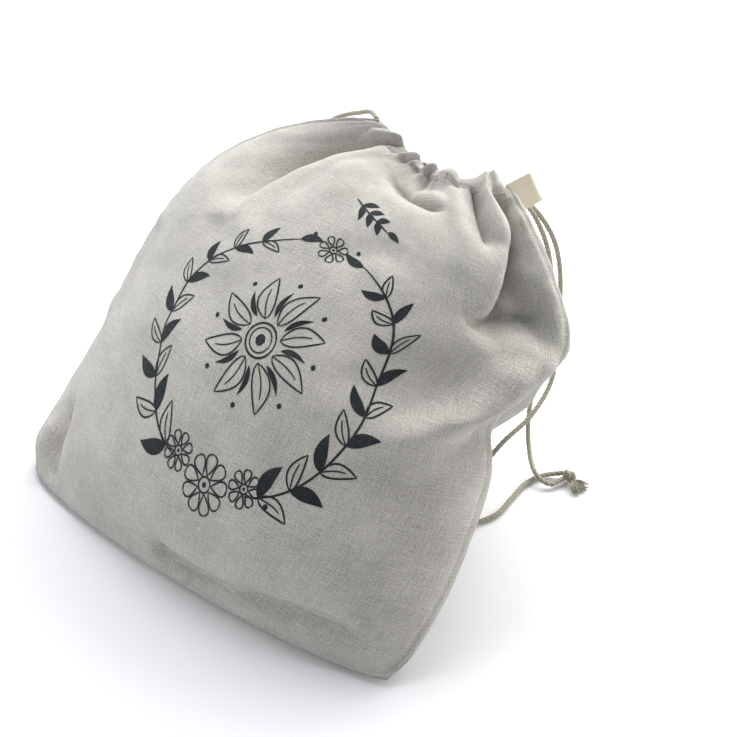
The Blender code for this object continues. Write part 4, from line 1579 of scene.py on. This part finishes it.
@dataclass
class Drawstring:
    """The free runs of the drawstring and the knot at its ends, in cm.

    A tail is its far point, its loose yarns and where along it they part.
    """

    twist: TwistedCord = field(default_factory=TwistedCord)
    knot_twist: TwistedCord = field(default_factory=lambda: TwistedCord(0.32, lay_length=0.8))
    tail_twist: TwistedCord = field(default_factory=lambda: TwistedCord(0.30, spacing=0.06))
    yarn: TwistedCord = field(default_factory=lambda: TwistedCord(sides=5, spacing=0.07))
    floor_gap: float = 0.01
    knot_centre: Point = (13.55, 20.25, 0.46)
    knot_offset: Point = (-0.03, 0.0, 0.05)
    knot_points: int = 110
    knot_reach: tuple[float, float] = (0.20, 0.13)
    knot_depth: float = 0.16
    knot_floor: float = 0.0002              # lowest point of the knot, m
    necks: tuple[tuple[Point, ...], ...] = (
        ((12.85, 20.24, 0.37), (13.0, 20.35, 0.40), (13.25, 20.36, 0.43)),
        ((13.14, 19.58, 0.31), (13.2, 19.74, 0.33), (13.34, 19.98, 0.38)))
    neck_taper: float = 0.85
    tails: tuple[tuple[Point, int, float], ...] = (
        ((14.74, 20.42, 0.26), 28, 0.45), ((14.72, 19.92, 0.22), 30, 0.40),
        ((14.50, 19.55, 0.20), 24, 0.40))
    tail_root: Point = (0.20, -0.12, -0.14)
    tail_bend: float = 0.25
    tail_rise: Point = (0.0, 0.0, 0.05)
    tail_taper: float = 0.9
    yarn_seed: int = 5
    yarn_root: float = 0.045                # scatter of the yarns' first points
    yarn_spread: float = 0.13               # scatter of their last points
    yarn_flatness: Point = (1, 1, 0.7)
    yarn_reach: tuple[float, float] = (0.75, 1.2)
    yarn_swing: float = 0.45
    yarn_bend: float = 0.035
    yarn_floor: float = 0.05
    yarn_radii: tuple[float, float] = (0.05, 0.022)

    def build(self, finish: Material) -> None:
        """Args:
            finish: The piece's material.
        """
        knot = self.build_knot(finish)
        for route in CORD_ROUTES:
            line = smooth_route(route.points, self.twist.spacing)
            line[:, 2] = np.maximum(line[:, 2], self.twist.diameter / 2 + self.floor_gap)
            draft = Draft()
            self.twist.add_plies(draft, line)
            cord = draft.build(route.name + "_twist", finish)
            declare(cord, "cord_cotton", route.name)

    def knot_loop(self) -> Array:
        """The knot's own line: a tight upright loop that crosses itself.

        Returns:
            The loop's points, in cm.
        """
        turn = np.linspace(0.0, 2 * math.pi, self.knot_points)
        reach = self.knot_reach[0] + self.knot_reach[1] * np.cos(3 * turn)
        loop = (reach * np.cos(2 * turn), self.knot_depth * np.sin(3 * turn),
                reach * np.sin(2 * turn))
        return np.stack(loop, axis=1) + self.knot_centre + self.knot_offset

    def build_knot(self, finish: Material) -> Object:
        """A tight knot that both cords run into, with one frayed tuft.

        Args:
            finish: The piece's material.

        Returns:
            The knot's object.
        """
        draft = Draft()
        self.knot_twist.add_plies(draft, self.knot_loop())
        for points in self.necks:
            line = smooth_route((*points, self.knot_centre), self.twist.spacing)
            self.twist.add_plies(draft, line, self.neck_taper)
        rng = np.random.default_rng(self.yarn_seed)
        root = np.add(self.knot_centre, self.tail_root)
        for tip, yarns, share in self.tails:
            out = tip - root
            bend = root + out * self.tail_bend + self.tail_rise
            line = smooth_route((root, bend, root + out * share), self.tail_twist.spacing)
            self.tail_twist.add_plies(draft, line, self.tail_taper)
            self.fray(draft, line[-3], np.array(tip), yarns, rng)
        made = draft.build("end_knot_tied", finish)
        for vert in made.data.vertices:
            vert.co.z = max(vert.co.z, self.knot_floor)
        return declare(made, "cord_cotton", "end_knot")

    def fray(self, draft: Draft, start: Array, tip: Array, yarns: int,
             rng: np.random.Generator) -> None:
        """Loose yarns that spread from the end of a tail to about its tip.

        Args:
            draft: The mesh to add to.
            start: The end of the tail.
            tip: About where the yarns end.
            yarns: Number of yarns.
            rng: The source of their scatter.
        """
        for _ in range(yarns):
            root = start + rng.normal(0, self.yarn_root, 3)
            spread = rng.normal(0, self.yarn_spread, 3) * self.yarn_flatness
            end = start + (tip - start) * rng.uniform(*self.yarn_reach) + spread
            end[2] = max(end[2], self.yarn_floor)
            middle = (root + end) / 2 + spread * self.yarn_swing + rng.normal(0, self.yarn_bend, 3)
            line = smooth_route((root, middle, end), self.yarn.spacing)
            line[:, 2] = np.maximum(line[:, 2], self.yarn_floor)
            self.yarn.add_tube(draft, line, np.linspace(*self.yarn_radii, len(line)))


# ------------------------------------------------------------------- label
@dataclass
class LabelTape:
    """The folded tape in the right seam, bare of any print, in cm.

    A place around the tape runs from 0 at one end, over the fold between the
    two shares of fold_span, to 1 at the other end.
    """

    root_top: Point = (7.16, 20.45, 20.12)
    root_low: Point = (8.24, 20.05, 18.62)
    tip_top: Point = (8.02, 21.66, 20.72)
    tip_low: Point = (9.14, 21.48, 19.36)
    gap: float = 0.16
    cloth: float = 0.045
    bow: float = 0.12
    slack: float = 0.05
    fold_span: tuple[float, float] = (0.46, 0.54)
    fold_cloth: tuple[float, float] = (0.44, 0.56)
    flat_reach: float = 0.93
    fold_reach: float = 0.05
    columns: int = 26
    rows: int = 22
    size: tuple[float, float] = (3.5, 1.9)

    def profile(self, t: Array, layer: int) -> tuple[Array, Array]:
        """Share of the reach and offset across of one face, at t around the tape.

        Args:
            t: Places around the tape.
            layer: 1 for the outer face or -1 for the inner one.

        Returns:
            The share of the reach and the offset, in cm.
        """
        start, end = self.fold_span
        turn = np.clip((t - start) / (end - start), 0, 1) * math.pi
        flat = np.minimum(t, 1 - t) / start * self.flat_reach
        folded = self.flat_reach + self.fold_reach * np.sin(turn)
        reach = np.where((t < start) | (t > end), flat, folded)
        across = self.gap / 2 * np.cos(turn)
        half = layer * self.cloth / 2
        low, high = self.fold_cloth
        return reach + half * ((t > low) & (t < high)), across + half * np.where(t < 0.5, 1, -1)

    def build(self, finish: Material) -> Object:
        """Mesh the tape as a thin two-sided strip.

        Args:
            finish: The piece's material.

        Returns:
            The label's object.
        """
        corners = (self.root_top, self.root_low, self.tip_top, self.tip_low)
        top, low, tip_top, tip_low = (np.array(corner) for corner in corners)
        face = unit(np.cross((tip_top + tip_low - top - low) / 2, unit(low - top)))
        t, share = np.meshgrid(np.arange(self.columns + 1) / self.columns,
                               np.arange(self.rows + 1) / self.rows)
        root = top + (low - top) * share[..., None]
        tip = tip_top + (tip_low - tip_top) * share[..., None]
        places = np.stack((t, share), axis=-1) * self.size * CM
        draft = Draft()
        rims = []
        for layer in (1, -1):
            reach, across = self.profile(t, layer)
            bow = self.bow * np.sin(math.pi * share) + self.slack * np.sin(3.1 * share + 2 * reach)
            out = across + bow * reach
            points = root + (tip - root) * reach[..., None] + face * out[..., None]
            ids = draft.add(points, places)
            draft.fill(ids, flip=layer == 1)
            rims.append(np.concatenate((ids[0], ids[1:, -1], ids[-1, -2::-1], ids[-2::-1, 0])))
        draft.fill(np.array(rims))
        made = draft.build("label_fold", finish)
        face_outward(made)
        return made


# ------------------------------------------------------------------- studio
@dataclass(frozen=True)
class Lamp:
    """A square soft light: metres right, ahead and up from the bag's middle."""

    name: str
    place: Point
    size: float
    watts: float
    colour: Point


LAMPS = (
    Lamp("top", (-0.15, 0.75, 1.25), 0.9, 18.5, (0.97, 0.98, 1.0)),
    Lamp("key", (0.70, 0.85, 0.85), 0.9, 24.0, (1.0, 0.985, 0.965)),
    Lamp("side", (1.20, -0.20, 0.60), 0.8, 5.5, (1.0, 0.99, 0.98)),
    Lamp("left", (-1.30, -0.15, 0.20), 0.8, 8.5, (0.98, 0.99, 1.0)),
)


@dataclass
class Studio:
    """Pale floor, soft light and the camera."""

    azimuth: float = 38.0
    elevation: float = 40.0
    distance: float = 0.95
    lens: float = 77.0
    sensor: float = 36.0
    target: Point = (3.66, 11.9, 9.95)
    lamps_aim: Point = (0.0, 0.0, 0.09)
    floor_reach: float = 6.0
    floor_drop: float = 0.0002
    floor_colour: Point = (0.79, 0.795, 0.815)
    floor_roughness: float = 0.85
    sky_colour: Point = (0.97, 0.985, 1.0)
    sky_strength: float = 0.40

    def directions(self) -> tuple[Vector, Vector, Vector]:
        """Unit vectors toward the camera, to its right and level ahead.

        Returns:
            The three vectors, in that order.
        """
        a, e = math.radians(self.azimuth), math.radians(self.elevation)
        toward = (math.sin(a) * math.cos(e), -math.cos(a) * math.cos(e), math.sin(e))
        right = Vector((math.cos(a), math.sin(a), 0.0))
        ahead = Vector((-math.sin(a), math.cos(a), 0.0))
        return Vector(toward), right, ahead

    @staticmethod
    def stand(data: bpy.types.ID, place: Vector, back: Vector) -> Object:
        """Link a camera or a lamp at a place, its back to a direction.

        Args:
            data: The camera or the lamp.
            place: Where it stands.
            back: The direction that its back points in.

        Returns:
            The new object.
        """
        made = bpy.data.objects.new(data.name, data)
        made.location = place
        made.rotation_euler = back.to_track_quat("Z", "Y").to_euler()
        bpy.context.scene.collection.objects.link(made)
        return made

    def camera(self) -> None:
        """Place the camera at the reference angle."""
        toward, _, _ = self.directions()
        data = bpy.data.cameras.new("camera")
        data.lens = self.lens
        data.sensor_width = self.sensor
        spot = Vector(to_frame(np.array(self.target))) + toward * self.distance
        bpy.context.scene.camera = self.stand(data, spot, toward)

    def lights(self) -> None:
        """Place the lamps, aimed at the bag."""
        _, right, ahead = self.directions()
        for lamp in LAMPS:
            data = bpy.data.lights.new(lamp.name, "AREA")
            data.size = lamp.size
            data.energy = lamp.watts
            data.color = lamp.colour
            x, y, z = lamp.place
            place = right * x + ahead * y + Vector((0.0, 0.0, z))
            self.stand(data, place, place - Vector(self.lamps_aim))

    def floor(self) -> None:
        """Lay the pale table top."""
        finish = bpy.data.materials.new("floor_white")
        finish.use_nodes = True
        shader = finish.node_tree.nodes["Principled BSDF"]
        shader.inputs["Base Color"].default_value = (*self.floor_colour, 1.0)
        shader.inputs["Roughness"].default_value = self.floor_roughness
        reach = self.floor_reach
        mesh = bpy.data.meshes.new("floor")
        corners = ((-reach, -reach, 0), (reach, -reach, 0), (reach, reach, 0), (-reach, reach, 0))
        mesh.from_pydata(corners, [], [(0, 1, 2, 3)])
        mesh.materials.append(finish)
        made = bpy.data.objects.new("floor", mesh)
        made.location.z = -self.floor_drop
        bpy.context.scene.collection.objects.link(made)

    def build(self) -> None:
        """Camera, lights, floor and world."""
        self.camera()
        self.lights()
        self.floor()
        world = bpy.data.worlds.new("studio")
        world.use_nodes = True
        sky = world.node_tree.nodes["Background"]
        sky.inputs[0].default_value = (*self.sky_colour, 1.0)
        sky.inputs[1].default_value = self.sky_strength
        bpy.context.scene.world = world
        bpy.context.scene.view_settings.view_transform = "Standard"


# --------------------------------------------------------------------- build
@dataclass
class BreadBag:
    """The whole bag: cloth, print, sewing, label and drawstring."""

    cloth: BagCloth = field(default_factory=BagCloth)

    def build(self) -> None:
        bag = declare(self.cloth.build(LINEN.material()), "linen", "panel_front", "panel_back")
        art = declare(PrintArt(self.cloth).build(INK.material()), "linen")
        sewing = declare(Stitching(self.cloth).build(THREAD.material()), "linen")
        declare(LabelTape().build(TAPE.material()), "label_cotton", "label_tab")
        Drawstring().build(CORD.material())


def main() -> None:
    """Build the studio and the bag."""
    plain_weave_group()
    twist_fibre_group()
    Studio().build()
    BreadBag().build()


if __name__ == "__main__":
    main()
